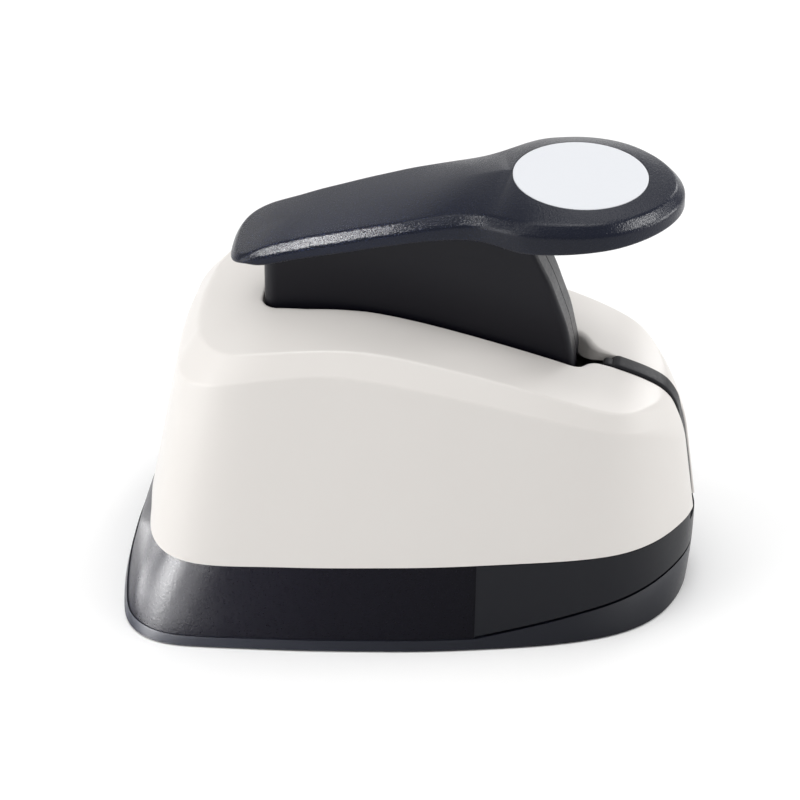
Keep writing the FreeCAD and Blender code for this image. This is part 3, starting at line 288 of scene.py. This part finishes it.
def metal(name, col, rough, stretch=(1, 1, 1), scale=400.0, bump=0.06):
    m, nt, b = new_mat(name)
    L = nt.links.new
    tc = nt.nodes.new("ShaderNodeTexCoord")
    mp = nt.nodes.new("ShaderNodeMapping")
    mp.inputs["Scale"].default_value = stretch
    L(tc.outputs["Object"], mp.inputs["Vector"])
    n1 = nt.nodes.new("ShaderNodeTexNoise")
    n1.inputs["Scale"].default_value = scale
    n1.inputs["Detail"].default_value = 4.0
    L(mp.outputs[0], n1.inputs["Vector"])
    mix = nt.nodes.new("ShaderNodeMix")
    mix.data_type = "RGBA"
    mix.inputs[6].default_value = tuple(x * 0.9 for x in col) + (1,)
    mix.inputs[7].default_value = tuple(min(1.0, x * 1.08) for x in col) + (1,)
    L(n1.outputs["Fac"], mix.inputs[0])
    L(mix.outputs[2], b.inputs["Base Color"])
    mr = nt.nodes.new("ShaderNodeMapRange")
    mr.inputs["To Min"].default_value = max(0.05, rough - 0.1)
    mr.inputs["To Max"].default_value = rough + 0.1
    L(n1.outputs["Fac"], mr.inputs["Value"])
    L(mr.outputs[0], b.inputs["Roughness"])
    bp = nt.nodes.new("ShaderNodeBump")
    bp.inputs["Strength"].default_value = bump
    bp.inputs["Distance"].default_value = 0.00003
    L(n1.outputs["Fac"], bp.inputs["Height"])
    L(bp.outputs[0], b.inputs["Normal"])
    b.inputs["Metallic"].default_value = 1.0
    return m


MAT = {
    "cream": plastic("cream_shell", (0.709, 0.681, 0.652), 0.32, 0.40, noise=1500.0, bump=0.03, vary=0.008, rvary=0.03, coat=0.0),
    "black_moulding": plastic("black_grained", (0.0012, 0.0011, 0.0028), 0.30, 0.100, noise=2400.0, bump=0.45, dist=0.00006,
                              vary=0.12, rvary=0.04, speckle=0.9, speck_scale=1500.0),
    "black_gloss": plastic("black_smooth", (0.0040, 0.0047, 0.0082), 0.33, 0.22, noise=1400.0, bump=0.03, vary=0.05, rvary=0.03),
    "fin_black": plastic("fin_satin", (0.0008, 0.0008, 0.0046), 0.36, 0.27, noise=1400.0, bump=0.03, vary=0.05),
    "handle_grey": plastic("lever_grained", (0.0028, 0.0044, 0.0122), 0.25, 0.27, noise=3600.0, bump=0.65, dist=0.00006,
                           vary=0.08, rvary=0.04, speckle=0.9, speck_scale=2200.0),
    "disc_white": plastic("disc_white", (0.700, 0.715, 0.745), 0.45, 0.4, noise=1200.0, bump=0.02, vary=0.006),
    "bar_grey": plastic("lock_grey", (0.009, 0.009, 0.012), 0.42, 0.24, noise=1500.0, bump=0.08, vary=0.06),
    "carrier_nylon": plastic("nylon", (0.62, 0.58, 0.48), 0.5, 0.4, noise=900.0, bump=0.08, vary=0.03),
    "bush_nylon": plastic("nylon_bush", (0.66, 0.63, 0.55), 0.5, 0.4, noise=900.0, bump=0.08, vary=0.03),
    "foot_rubber": plastic("rubber", (0.02, 0.02, 0.02), 0.8, 0.3, noise=700.0, bump=0.3, vary=0.15),
    "sheet_steel": metal("zinc_sheet", (0.55, 0.55, 0.56), 0.38, (1, 8, 1), 300.0),
    "die_steel": metal("ground_steel", (0.60, 0.59, 0.57), 0.28, (1, 14, 1), 500.0),
    "pin_steel": metal("drawn_steel", (0.62, 0.62, 0.62), 0.22, (1, 12, 1), 500.0),
    "spring_steel": metal("spring_wire", (0.42, 0.42, 0.43), 0.3, (1, 1, 1), 500.0),
    "zinc": metal("zinc_screw", (0.6, 0.6, 0.62), 0.3, (1, 1, 1), 700.0),
}
SLOT = {s["node"]: s["material_slot"] for s in frame["record"]["subparts"]}
for n, o in NODES.items():
    o.data.materials.clear()
    o.data.materials.append(MAT[SLOT[n]])


def place(o, body, slot_name, *nodes):
    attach(o, body)
    if nodes:
        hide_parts(*nodes)
    return o


# ------------------------------------------------------------------ cover
c20, c70, upp = ring(C20, TC), ring(C70, TC), ring(UPP, TC)
zl_ = natural(TC, ZL)
CH = 2.5          # half width of the bar's channel
SH = 7.05         # half width of the lever's slot
SLOT_X = -33.2    # rear end of the slot
R_EDGE = 0.35


def slot_edge():
    """Half outline of the slot, from its rear centre to the channel, as a polyline."""
    p = [(SLOT_X, 0.0), (SLOT_X, 1.1), (SLOT_X, 2.2), (SLOT_X, 3.0)]
    for a in np.linspace(0, 90, 8):
        p.append((SLOT_X + 3.75 - 3.75 * math.cos(math.radians(a)), SH - 3.75 + 3.75 * math.sin(math.radians(a))))
    p += [(x, SH) for x in np.linspace(-28.6, 35.6, 44)]
    for a in np.linspace(8, 74, 8):
        p.append((36.2 + 3.0 * math.sin(math.radians(a)), 4.05 + 3.0 * math.cos(math.radians(a))))
    p += [(39.5, 4.3), (40.1, 3.6), (40.9, 3.0), (41.9, 2.66), (43.0, CH + 0.03)]
    p += [(x, CH) for x in np.linspace(44.2, 57.4, 14)]
    return np.array(p)


SE = slot_edge()
se_d = np.concatenate([[0], np.cumsum(np.hypot(*np.diff(SE, axis=0).T))])
N_REAR = 11       # points of the outline round the slot's rear end
d_ch = float(se_d[np.argmax(SE[:, 0] > 43.5)])

NU = 260
# more columns where the outline bends
tt = np.linspace(0, 1, 4001)
cc = c20(tt)
arc = np.concatenate([[0], np.cumsum(np.hypot(*np.diff(cc, axis=0).T))])
tang = unit(np.gradient(cc, axis=0))
bend = np.concatenate([[0], np.cumsum(np.hypot(*np.diff(tang, axis=0).T))])
meas = arc / arc[-1] + 0.7 * bend / bend[-1]
t_end = float(np.interp(0, -(c20(tt)[::-1, 1] - (CH + R_EDGE)), tt[::-1]))
for q in range(3000, 4001):
    if c20(tt[q])[0, 1] < CH + R_EDGE:
        t_end = tt[q]
        break
tcol = np.interp(np.linspace(0, np.interp(t_end, tt, meas), NU), meas, tt)

W20, W70, U = c20(tcol), c70(tcol), upp(tcol)
zL = zl_(tcol)


def wall(z):
    z = np.broadcast_to(np.asarray(z, float), (NU,))
    k = ((z - 20.0) / 50.0)[:, None]
    xy = W20 + (W70 - W20) * k
    return np.column_stack([xy, z])


def fix_y(p, yend):
    """Brings the last columns on to the channel's edge."""
    q = p.copy()
    y = p[:, 1]
    lim = 12.0
    sel = (y < lim) & (np.arange(len(y)) > NU // 2)
    q[sel, 1] = (CH + R_EDGE) + (y[sel] - yend) * (lim - CH - R_EDGE) / (lim - yend)
    return q


def col_fix(p):
    return fix_y(p, p[-1, 1])


# slot edge target for each column, matched by turning about the slot's middle
tgt = []
for j in range(NU):
    x, w = U[j]
    if tcol[j] < TC[6]:
        f = tcol[j] / TC[6]
        tgt.append(f * se_d[N_REAR])
    else:
        tgt.append(None)
k0 = next(j for j in range(NU) if tgt[j] is None)
x_start, x_last = U[k0][0], U[-1][0]
for j in range(k0, NU):
    f = (U[j][0] - x_start) / (x_last - x_start)
    xs = SE[N_REAR, 0] + f * (57.4 - SE[N_REAR, 0])
    tgt[j] = float(np.interp(xs, SE[N_REAR:, 0], se_d[N_REAR:]))
tgt = np.array(tgt)
# keep the spacing even along the slot's bends
order = np.maximum.accumulate(tgt)
T0 = np.column_stack([np.interp(order, se_d, SE[:, 0]), np.interp(order, se_d, SE[:, 1])])
dT = np.gradient(T0, axis=0)
nrm = unit(np.column_stack([-dT[:, 1], dT[:, 0]]))   # away from the slot
nrm[0] = (-1, 0)
RE = np.interp(order, [0.0, 3.0, 5.5, 9.0, 16.0, 30.0, d_ch - 4.0, d_ch + 1.0], [0.45, 0.45, 0.7, 2.0, 2.6, 1.2, 1.2, 0.4])
RE = RE - 0.05 * np.clip((order - d_ch) / 3.0, 0, 1)
T = T0 + nrm * RE[:, None]

blend_nose = np.clip((tcol - TC[17]) / (1 - TC[17]), 0, 1) ** 1.3
rho_l = 0.55 + 3.4 * blend_nose
rho_u = 0.6 + 3.2 * blend_nose
rear = np.clip(1 - tcol / TC[5], 0, 1)
rho_l = rho_l + 1.6 * rear
rho_u = rho_u + 1.2 * rear

P0 = col_fix(wall(20.0))
PL = wall(zL)
PU = np.column_stack([U, zt(U[:, 0])])
PLf, PUf = col_fix(PL), col_fix(PU)
rows = []
# bottom edge, rounded under
rows.append(P0 + np.array([0, 0, 0.0]) * 0)
for dz in (0.15, 0.4, 1.0):
    rows.append(col_fix(wall(20.0 + dz)))
below = wall(zL - rho_l)
zs = np.linspace(0, 1, 22)[1:-1]
for s in zs:
    rows.append(col_fix(wall(21.0 + (zL - rho_l - 21.0) * s)))
a = col_fix(below)
dB = unit(PUf - PLf)
b = PLf + dB * np.minimum(rho_l[:, None], 0.45 * np.linalg.norm(PUf - PLf, axis=1)[:, None])
rows += list(bez(PLf, a, b, 9))
# roof direction from U to the slot
Tf = T.copy()
plan_len = np.linalg.norm(Tf - PUf[:, :2], axis=1)
step = np.minimum(rho_u / np.maximum(plan_len, 1e-6), 0.45)


def roof(s):
    s = np.broadcast_to(np.asarray(s, float), (NU,))[:, None]
    xy = PUf[:, :2] + (Tf - PUf[:, :2]) * s
    return np.column_stack([xy, zt(xy[:, 0])])


a = PUf - dB * np.minimum(rho_u[:, None], 0.45 * np.linalg.norm(PUf - PLf, axis=1)[:, None])
b = roof(step)
rows += list(bez(PUf, a, b, 9))
for s in np.linspace(0, 1, 16)[1:]:
    rows.append(roof(step + (1 - step) * s))
G = np.array(rows)
cv = Builder()
cv.grid(G)
# rounded edge and side of the slot and the channel: along the last row, then down the last column
last_row = G[-1]
last_col = G[::-1, -1][1:]
edge = np.concatenate([last_row, last_col])


def grid_normals(g):
    du = np.gradient(g, axis=1)
    dv = np.gradient(g, axis=0)
    n = unit(np.cross(du, dv))
    return n


N = grid_normals(G)
if N[-1, NU // 2, 2] < 0:
    N = -N
en = np.concatenate([N[-1], N[::-1, -1][1:]])
en[:len(last_row)] = unit(np.column_stack([-np.gradient(zt(last_row[:, 0]), last_row[:, 0]) if False else
                                           -(zt(last_row[:, 0] + 0.05) - zt(last_row[:, 0] - 0.05)) / 0.1,
                                           np.zeros(len(last_row)), np.ones(len(last_row))]))
ed = np.concatenate([np.column_stack([-nrm, np.zeros(NU)]), np.tile([0.0, -1.0, 0.0], (len(last_col), 1))])
k = np.arange(len(edge))
mixz = np.clip((k - (NU - 10)) / 12.0, 0, 1)[:, None]
ed = unit(ed)
ed = unit(ed - en * np.sum(ed * en, axis=1, keepdims=True))
strip = []
rr_ = np.concatenate([RE, np.full(len(last_col), R_EDGE)])[:, None]
deep = np.concatenate([np.interp(order, [0, d_ch - 6, d_ch - 1], [4.6, 4.6, 2.4]), np.full(len(last_col), 2.4)])[:, None]
for ph in np.linspace(0, 90, 9):
    c, s = math.cos(math.radians(ph)), math.sin(math.radians(ph))
    strip.append(edge + ed * rr_ * s - en * rr_ * (1 - c))
strip.append(edge + ed * rr_ - en * (rr_ + 0.6))
strip.append(edge + ed * rr_ - en * deep)
strip.append(edge + ed * (rr_ - 1.8) - en * (deep + 0.05))
strip = np.array(strip)
strip[:, 0, 1] = 0.0
cv.grid(strip)
# bottom edge and inner face
lip = [P0, P0 + np.array([0, 0, -0.08]) + 0 * P0]
inw = np.column_stack([unit(np.column_stack([-(np.gradient(P0[:, 1])), np.gradient(P0[:, 0])])), np.zeros(NU)])
if np.sum(inw[:, 1] * P0[:, 1]) > 0:
    inw = -inw
lip = [P0, P0 + inw * 0.2 + [0, 0, -0.12], P0 + inw * 2.1 + [0, 0, -0.12]]
mid_in = [col_fix(wall(zz)) + inw * 2.2 for zz in (21.0, 30.0, 40.0)]
top_in = PLf + inw * 2.2 + [0, 0, -1.2]
up_in = PUf + inw * 1.0 + [0, 0, -2.4]
roof_in = [roof(s) - [0, 0, 2.4] for s in (0.15, 0.5, 0.9)]
cv.grid(np.array(lip + mid_in + [top_in, up_in] + roof_in))
mirrored(cv)
cover = mesh("cover_skin", cv.verts(), cv.f, MAT["cream"], 35.0)
place(cover, "frame", "cream", "cover_shell")

# ------------------------------------------------------------------ lever pad and arm
HZ = [(-41.5, 80.2), (-40, 81.5), (-38, 82.8), (-36, 83.9), (-33, 85.5), (-30, 86.8), (-26, 88.2), (-22, 89.6),
      (-18, 90.8), (-14, 92.0), (-10, 93.2), (-6, 94.3), (-2, 95.4), (2, 96.4), (6, 97.35), (10, 98.2), (14, 98.95),
      (18, 99.7), (22, 100.35), (26, 100.85), (31, 101.25), (37, 101.55), (43, 101.65), (50, 101.65), (57, 101.6),
      (61, 101.55)]
HW = [(-40.2, 0), (-40.1, 3.2), (-39.7, 6.1), (-38.6, 8.7), (-36.8, 10.5), (-33.4, 11.6), (-27.5, 12.1), (-20, 12.7),
      (-14, 13.2), (-8, 13.6), (-2, 14.0), (4, 14.1), (9, 14.2), (13, 14.6), (16, 15.4), (19, 16.8), (22.5, 18.8),
      (26.5, 20.6), (31, 21.4), (36, 21.6), (41, 21.0), (46, 19.4), (50.5, 16.6), (54.5, 12.8), (57.8, 7.9),
      (59.4, 3.5), (59.8, 0)]
HLOW = [(-41.5, 79.9), (-40, 80.2), (-38.5, 80.9), (-37, 81.5), (-35.5, 81.8), (-34, 81.8), (-31.8, 82.1), (-28, 83.2),
        (-22, 85.0), (-14, 87.2), (-6, 89.4), (2, 91.3), (10, 92.6), (18, 93.5), (24, 93.8), (31, 94.4), (37, 95.0),
        (43, 95.5), (50, 95.9), (57, 96.2), (61, 96.3)]
hz = natural(*np.array(HZ).T)
hl = natural(*np.array(HLOW).T)
TH = ring_params(HW)
hw = ring(HW, TH)
NH = 420
th = np.linspace(0, 2, NH, endpoint=False)
O = hw(th)
dO = np.roll(O, -1, 0) - np.roll(O, 1, 0)
inH = unit(np.column_stack([dO[:, 1], -dO[:, 0]]))
inH[np.sum(inH * (O - [10, 0]), axis=1) > 0] *= 1
if np.mean(np.sum(inH * (O - np.array([5.0, 0])), axis=1)) > 0:
    inH = -inH


xo = O[:, 0]
bk = np.clip((-28.0 - xo) / 10.0, 0, 1)
bk = bk * bk * (3 - 2 * bk)
BW, BD = 1.85 - 0.95 * bk, 2.1 - 1.0 * bk
zl_h = hl(xo)
top_e = hz((O + inH * BW[:, None])[:, 0])
bd = np.minimum(BD, np.maximum(0.45 * (top_e - zl_h), 0.3))
z_b = hz(xo) - bd            # lower edge of the bevel
z_b = np.maximum(z_b, zl_h + 0.3)
E_low = np.column_stack([O, zl_h])
E_mid = np.column_stack([O, z_b])
E_top = np.column_stack([O + inH * BW[:, None], top_e])
DX, DR, GAP = 36.9, 14.85, 0.16


def disc_z(x):
    """Plane of the white disc."""
    return 102.77 - 0.025 * (x - DX)


# where each column of the top face ends: on the arm's centre line, then round the disc's seat
PATH_L = DX - (DR + GAP) + 33.0
PATH_A = math.pi * (DR + GAP)
ends = [0, 0.3, 0.8, 1.4, 2.0, 4.2, 8.0, 13.2, 19.0, 25.0, 31.0, 37.5, 43.5, 48.5, 52.0, 56.6, 63.5, 70.4, 74.1, 77.7, 81.2, 84.9,
        88.6, 92.5, 96.5, 99.7]
ends = np.array(ends + [PATH_L + PATH_A])
fe = natural(TH, ends)
hh = np.minimum(th, 2 - th)
pp = np.clip(np.maximum.accumulate(fe(np.linspace(0, 1, 2001))), 0, PATH_L + PATH_A)
pp = np.interp(hh, np.linspace(0, 1, 2001), pp)
side = np.where(th <= 1, 1.0, -1.0)
on_arc = pp > PATH_L
ang_ = np.where(on_arc, math.pi - (pp - PATH_L) / (DR + GAP), 0)
cen = np.column_stack([np.where(on_arc, DX + (DR + GAP) * np.cos(ang_), -33.0 + pp),
                       np.where(on_arc, (DR + GAP) * np.sin(ang_) * side, 0.0)])
zc_line = natural([-40, -33, -20, -8, 2, 8, 13, 17, 19.8, 22.0],
                  [81.5, 85.75, 90.55, 94.35, 97.5, 99.6, 101.2, 102.3, 102.95, 103.14])
cen_z = np.where(on_arc, disc_z(cen[:, 0]), zc_line(cen[:, 0]))


def toward(p, q, d):
    v = q - p
    L_ = np.linalg.norm(v, axis=1, keepdims=True)
    return p + v * np.minimum(d / np.maximum(L_, 1e-9), 0.45)


padf = 1 / (1 + np.exp(-(cen[:, 0] - 15.0) / 3.0))


def top_pt(s):
    s = np.broadcast_to(np.asarray(s, float), (NH,))
    xy = E_top[:, :2] + (cen - E_top[:, :2]) * s[:, None]
    arm_z = hz(xy[:, 0]) + (cen_z - hz(cen[:, 0])) * (1 - (1 - s) ** 2)
    pad_z = E_top[:, 2] + (cen_z - E_top[:, 2]) * s * (1.3 - 0.3 * s)
    return np.column_stack([xy, (1 - padf) * arm_z + padf * pad_z])


hb = Builder()
rw = []
inset_b = 2.2
rec = np.clip(np.minimum(3.6, (top_e - 3.0) - zl_h), 0.0, None) * np.clip((xo + 33.0) / 6.0, 0, 1)
ceil_z = zl_h + rec


def under(s, lift):
    xy = (O + inH * inset_b) + (cen - (O + inH * inset_b)) * s
    return np.column_stack([xy, hl(xy[:, 0]) + lift])


for s in (1.0, 0.8, 0.6, 0.4, 0.2, 0.03):
    rw.append(under(s, rec))
rw.append(under(0.0, rec * 0.9))
rw.append(under(0.0, rec * 0.05))
E_in = np.column_stack([O + inH * inset_b, hl((O + inH * inset_b)[:, 0])])
rw.append(toward(E_in, E_low, 0.3))
rw += list(bez(E_low, toward(E_low, E_in, 0.8), toward(E_low, E_mid, 0.8), 7))
rw += list(bez(E_mid, toward(E_mid, E_low, 0.7), toward(E_mid, E_top, 0.7), 7))
rw.append((E_mid + E_top) / 2)
rw += list(bez(E_top, toward(E_top, E_mid, 0.5), top_pt(0.5 / np.maximum(np.linalg.norm(cen - E_top[:, :2], axis=1), 1)), 7))
s0 = 0.5 / np.maximum(np.linalg.norm(cen - E_top[:, :2], axis=1), 1)
for s in np.linspace(0, 1, 18)[1:]:
    rw.append(top_pt(s0 + (1 - s0) * s))
last = rw[-1]
seat = np.where(on_arc, 1.0, 0.0)[:, None]
rw.append(last + seat * [0, 0, -0.7])
hb.grid(np.array(rw), wrap=True)
handle = mesh("lever_pad", hb.verts(), hb.f, MAT["handle_grey"], 38.0)
place(handle, "lever", "handle_grey", "lever_handle")

# white disc let into the pad
ang = np.linspace(0, 2 * math.pi, 180, endpoint=False)
db = Builder()
rr = [(0.01, 0.06), (4, 0.06), (8, 0.06), (12, 0.06), (14.0, 0.06), (DR - 0.22, 0.06), (DR - 0.08, 0.035), (DR - 0.02, -0.02), (DR, -0.1),
      (DR, -0.65), (14.0, -1.6), (0.01, -1.6)]
rows_ = []
for r, dz in rr:
    x, y = DX + r * np.cos(ang), r * np.sin(ang)
    rows_.append(np.column_stack([x, y, disc_z(x) + dz]))
db.grid(np.array(rows_), wrap=True)
disc = mesh("pad_disc", db.verts(), db.f, MAT["disc_white"], 50.0)
place(disc, "lever", "disc_white", "handle_disc")

# ------------------------------------------------------------------ lock bar
tx = np.concatenate([np.arange(42.0, 60.0, 0.25), np.arange(60.0, 64.6, 0.03)])
tz = zt(tx)
ts = np.concatenate([[0], np.cumsum(np.hypot(np.diff(tx), np.diff(tz)))])


def bar_sweep(x0, x1z, half, off, depth, r, nose):
    """Rounded strip that lies along the cover's top and nose."""
    s_a = float(np.interp(x0, tx, ts))
    s_b = float(np.interp(-x1z, -tz, ts)) if x1z > 0 else float(np.interp(-x1z, tx, ts))
    n = 150
    st = s_a + (s_b - s_a) * np.concatenate([np.linspace(0, 0.06, 16)[:-1] ** 1.0, np.linspace(0.06, 1, n)])
    rows = []
    for q in st:
        x, z = np.interp(q, ts, tx), np.interp(q, ts, tz)
        e = 0.35
        t_ = np.array([np.interp(q + e, ts, tx) - np.interp(q - e, ts, tx), np.interp(q + e, ts, tz) - np.interp(q - e, ts, tz)])
        t_ /= np.hypot(*t_)
        nrm_ = np.array([-t_[1], t_[0]])
        o = float(np.interp(z, [36.0, 43.5, 47.0, 50.5], [-0.75, -0.55, 0.2, off])) if off > 0 else off
        d = q - s_a
        drop = 0.0
        if d < nose:
            drop = nose - math.sqrt(max(nose ** 2 - (nose - d) ** 2, 0.0))
        prof = [(-depth, half)]
        o2 = max(o - drop, -depth + 0.2)
        k_ = min(r, (o2 + depth) * 0.45)
        for a_ in np.linspace(0, 90, 6):
            prof.append((o2 - k_ + k_ * math.sin(math.radians(a_)), half - k_ + k_ * math.cos(math.radians(a_))))
        prof.append((o2, half * 0.4))
        prof += [(h_, -y_) for h_, y_ in reversed(prof)]
        rows.append([(x + nrm_[0] * h_, y_, z + nrm_[1] * h_) for h_, y_ in prof])
    return np.array(rows)


bb = Builder()
g = bar_sweep(44.9, 21.3, 2.3, 0.6, 2.2, 0.5, 1.9)
bb.grid(g, wrap=True)
bb.poly(g[0])
bb.poly(g[-1][::-1])
g = bar_sweep(43.4, -47.5, 1.5, -0.3, 2.0, 0.4, 1.0)
bb.grid(g, wrap=True)
bb.poly(g[0])
bb.poly(g[-1][::-1])


def slab(b, pts, half):
    """Flat part between y = -half and y = half with the outline pts (x, z)."""
    p = np.array(pts, float)
    a_, c_ = (np.column_stack([p[:, 0], np.full(len(p), y_), p[:, 1]]) for y_ in (-half, half))
    b.grid(np.array([a_, c_]), wrap=True)
    b.poly(a_)
    b.poly(c_[::-1])


def under_line(off, x0, x1, n=14):
    return [(x, float(zt(x)) - off) for x in np.linspace(x0, x1, n)]


slab(bb, under_line(3.1, 44.0, 52.6) + under_line(5.1, 44.0, 52.6)[::-1], 4.6)
dx_, dz_ = 4.0 * math.cos(math.radians(14.0)), 4.0 * math.sin(math.radians(14.0))
hb_ = NODES["lock_bar"]
hz0 = min((v.co.z for v in hb_.data.vertices if v.co.x < 0.036), default=0.033) / MM
hz1 = max((v.co.z for v in hb_.data.vertices if v.co.x < 0.036), default=0.036) / MM
slab(bb, [(34.3, hz0), (34.3, hz1), (54.0, hz1), (58.0, 41.0), (58.0, 45.5), (60.2, 44.5), (61.6, 38.0), (62.2, hz0)], 1.25)
bar = mesh("lock_bar_top", bb.verts(), bb.f, MAT["bar_grey"], 40.0)
place(bar, "lock", "bar_grey", "lock_bar")

# ------------------------------------------------------------------ camera
AZ, EL, DIST, F = math.radians(6.5), math.radians(32.5), 1.0, 4360.0
target = np.array([-0.004, 0.0107, 0.035])
right = np.array([math.cos(AZ), math.sin(AZ), 0.0])
back = np.array([math.sin(AZ) * math.cos(EL), -math.cos(AZ) * math.cos(EL), math.sin(EL)])
up = np.cross(back, right)
cam = bpy.data.cameras.new("view")
cam.sensor_width = 36.0
cam.lens = 36.0 * F / 800.0
cam.clip_end = 20.0
camera = bpy.data.objects.new("view", cam)
bpy.context.scene.collection.objects.link(camera)
pos = target + back * DIST
camera.matrix_world = Matrix(((right[0], up[0], back[0], pos[0]), (right[1], up[1], back[1], pos[1]),
                              (right[2], up[2], back[2], pos[2]), (0, 0, 0, 1)))
bpy.context.scene.camera = camera

# ------------------------------------------------------------------ light and floor
bpy.context.scene.view_settings.view_transform = "Standard"
world = bpy.data.worlds.new("studio")
bpy.context.scene.world = world
world.use_nodes = True
world.node_tree.nodes["Background"].inputs[0].default_value = (1, 1, 1, 1)
world.node_tree.nodes["Background"].inputs[1].default_value = 0.54


from mathutils import Vector


def lamp(name, az, el, reach, size, radiance):
    """A round soft light, by its direction from the object and how bright its face is."""
    a, e = math.radians(az), math.radians(el)
    d = Vector((math.sin(a) * math.cos(e), -math.cos(a) * math.cos(e), math.sin(e)))
    light = bpy.data.lights.new(name, "AREA")
    light.shape = "DISK"
    light.size = size
    light.energy = math.pi ** 2 * (size / 2) ** 2 * radiance
    o = bpy.data.objects.new(name, light)
    bpy.context.scene.collection.objects.link(o)
    o.location = Vector((0, 0, 0.05)) + d * reach
    o.rotation_euler = (-d).to_track_quat("-Z", "Y").to_euler()
    return o


def panel(name, az, reach, width, height, middle, radiance):
    """An upright soft light standing near the floor."""
    a = math.radians(az)
    d = Vector((math.sin(a), -math.cos(a), 0.0))
    light = bpy.data.lights.new(name, "AREA")
    light.shape = "RECTANGLE"
    light.size, light.size_y = width, height
    light.energy = math.pi * width * height * radiance
    o = bpy.data.objects.new(name, light)
    bpy.context.scene.collection.objects.link(o)
    o.location = d * reach + Vector((0, 0, middle))
    o.rotation_euler = (-d).to_track_quat("-Z", "Y").to_euler()
    return o


high = [lamp("overhead", 0, 89, 1.4, 1.10, 2.2), lamp("overhead_small", -178, 86, 1.4, 0.34, 5.8),
        lamp("high_left", -60, 58, 1.4, 0.50, 2.4), lamp("high_back", 180, 62, 1.4, 0.60, 0.4)]
lamp("key", -50, 43, 1.4, 0.32, 1.6)
lamp("side_mid", -72, 31, 1.4, 0.22, 0.8)
lamp("front_small", 6, 28, 1.4, 0.12, 3.0)
lamp("right_a", 68, 38, 1.4, 0.26, 6.5)
lamp("right_b", 92, 34, 1.4, 0.24, 11.0)
lamp("right_c", 112, 25, 1.4, 0.22, 7.0)
lamp("back_right", 150, 20, 1.4, 0.50, 5.0)
lamp("back_low", 178, 8, 1.4, 0.50, 1.3)
panel("left_wide", -70, 0.45, 0.30, 0.25, 0.13, 3.3)
panel("right_wide", 95, 1.1, 0.90, 0.16, 0.085, 3.2)

# the lights from above throw no shadow of the lever's pad on the roof
pad_shade = bpy.data.collections.new("pad_shade")
pad_shade.objects.link(handle)
pad_shade.collection_objects[0].light_linking.link_state = "EXCLUDE"
for o in high:
    o.light_linking.blocker_collection = pad_shade

# lights that bring out the grain on the lever's rim; they light the lever alone
lever_only = bpy.data.collections.new("lever_only")
lever_only.objects.link(handle)
rims = [lamp("rim_left", -54, 41, 0.13, 0.034, 2.15), lamp("rim_mid", -72, 29, 1.4, 0.20, 1.3),
        lamp("rim_neck", -23, 31, 1.4, 0.12, 6.0), lamp("rim_right", 84, 35, 1.4, 0.46, 15.0),
        lamp("rim_back", -155, 26, 1.4, 1.20, 0.38), lamp("rim_top", 176, 52, 1.4, 0.60, 1.6),
        lamp("rim_low_right", 100, 0, 1.4, 0.80, 8.0)]
rims[0].location = rims[0].location + Vector((-0.0213, -0.017, 0.036))
rims[0].rotation_euler = (Vector((-0.0155, -0.017, 0.0865)) - rims[0].location).to_track_quat("-Z", "Y").to_euler()
rims[0].data.spread = math.radians(24.0)
for o in rims:
    o.light_linking.receiver_collection = lever_only

# a low light beside the base's right end and more beside its flare; they light the base alone
base_only = bpy.data.collections.new("base_only")
for n in ("base_skirt", "bottom_plate"):
    base_only.objects.link(NODES[n])
for name, az, width, strength in (("left_low_a", -60, 0.12, 15.0), ("left_low_c", -112, 0.08, 3.8), ("left_low_b", -18, 0.08, 4.4)):
    low = panel(name, az, 0.12, width, 0.024, 0.013, strength)
    low.location.x -= 0.058
    low.location.y -= 0.030
    low.data.spread = math.radians(60.0)
    low.light_linking.receiver_collection = base_only
for name, az, reach, width, length, strength in (("floor_left_a", -56, 0.065, 0.080, 0.100, 19.0), ("floor_left_c", -112, 0.060, 0.060, 0.070, 2.7), ("floor_left_b", -16, 0.060, 0.050, 0.080, 3.4)):
    low = panel(name, az, reach, width, length, 0.0008, strength)
    low.location.x -= 0.058
    low.location.y -= 0.030
    low.rotation_euler = (math.pi, 0.0, math.radians(az))
    low.light_linking.receiver_collection = base_only
for name, az, reach, width, height, middle in (("right_low", 82, 0.12, 0.14, 0.030, 0.016), ("floor_right", 82, 0.065, 0.11, 0.09, 0.0008)):
    low = panel(name, az, reach, width, height, middle, 5.0)
    low.location.x += 0.058
    low.location.y -= 0.015
    if middle < 0.001:
        low.rotation_euler = (math.pi, 0.0, math.radians(az))
    low.light_linking.receiver_collection = base_only
for o in bpy.context.scene.objects:
    if o.type == "LIGHT":
        o.visible_camera = False

fb = Builder()
fb.grid(np.array([[(-3000, -3000, -0.05), (3000, -3000, -0.05)], [(-3000, 3000, -0.05), (3000, 3000, -0.05)]]), flip=False)
floor = mesh("floor", fb.verts(), fb.f, plastic("floor_pale", (0.93, 0.93, 0.93), 0.9, 0.1, noise=20.0, bump=0.0, vary=0.004))
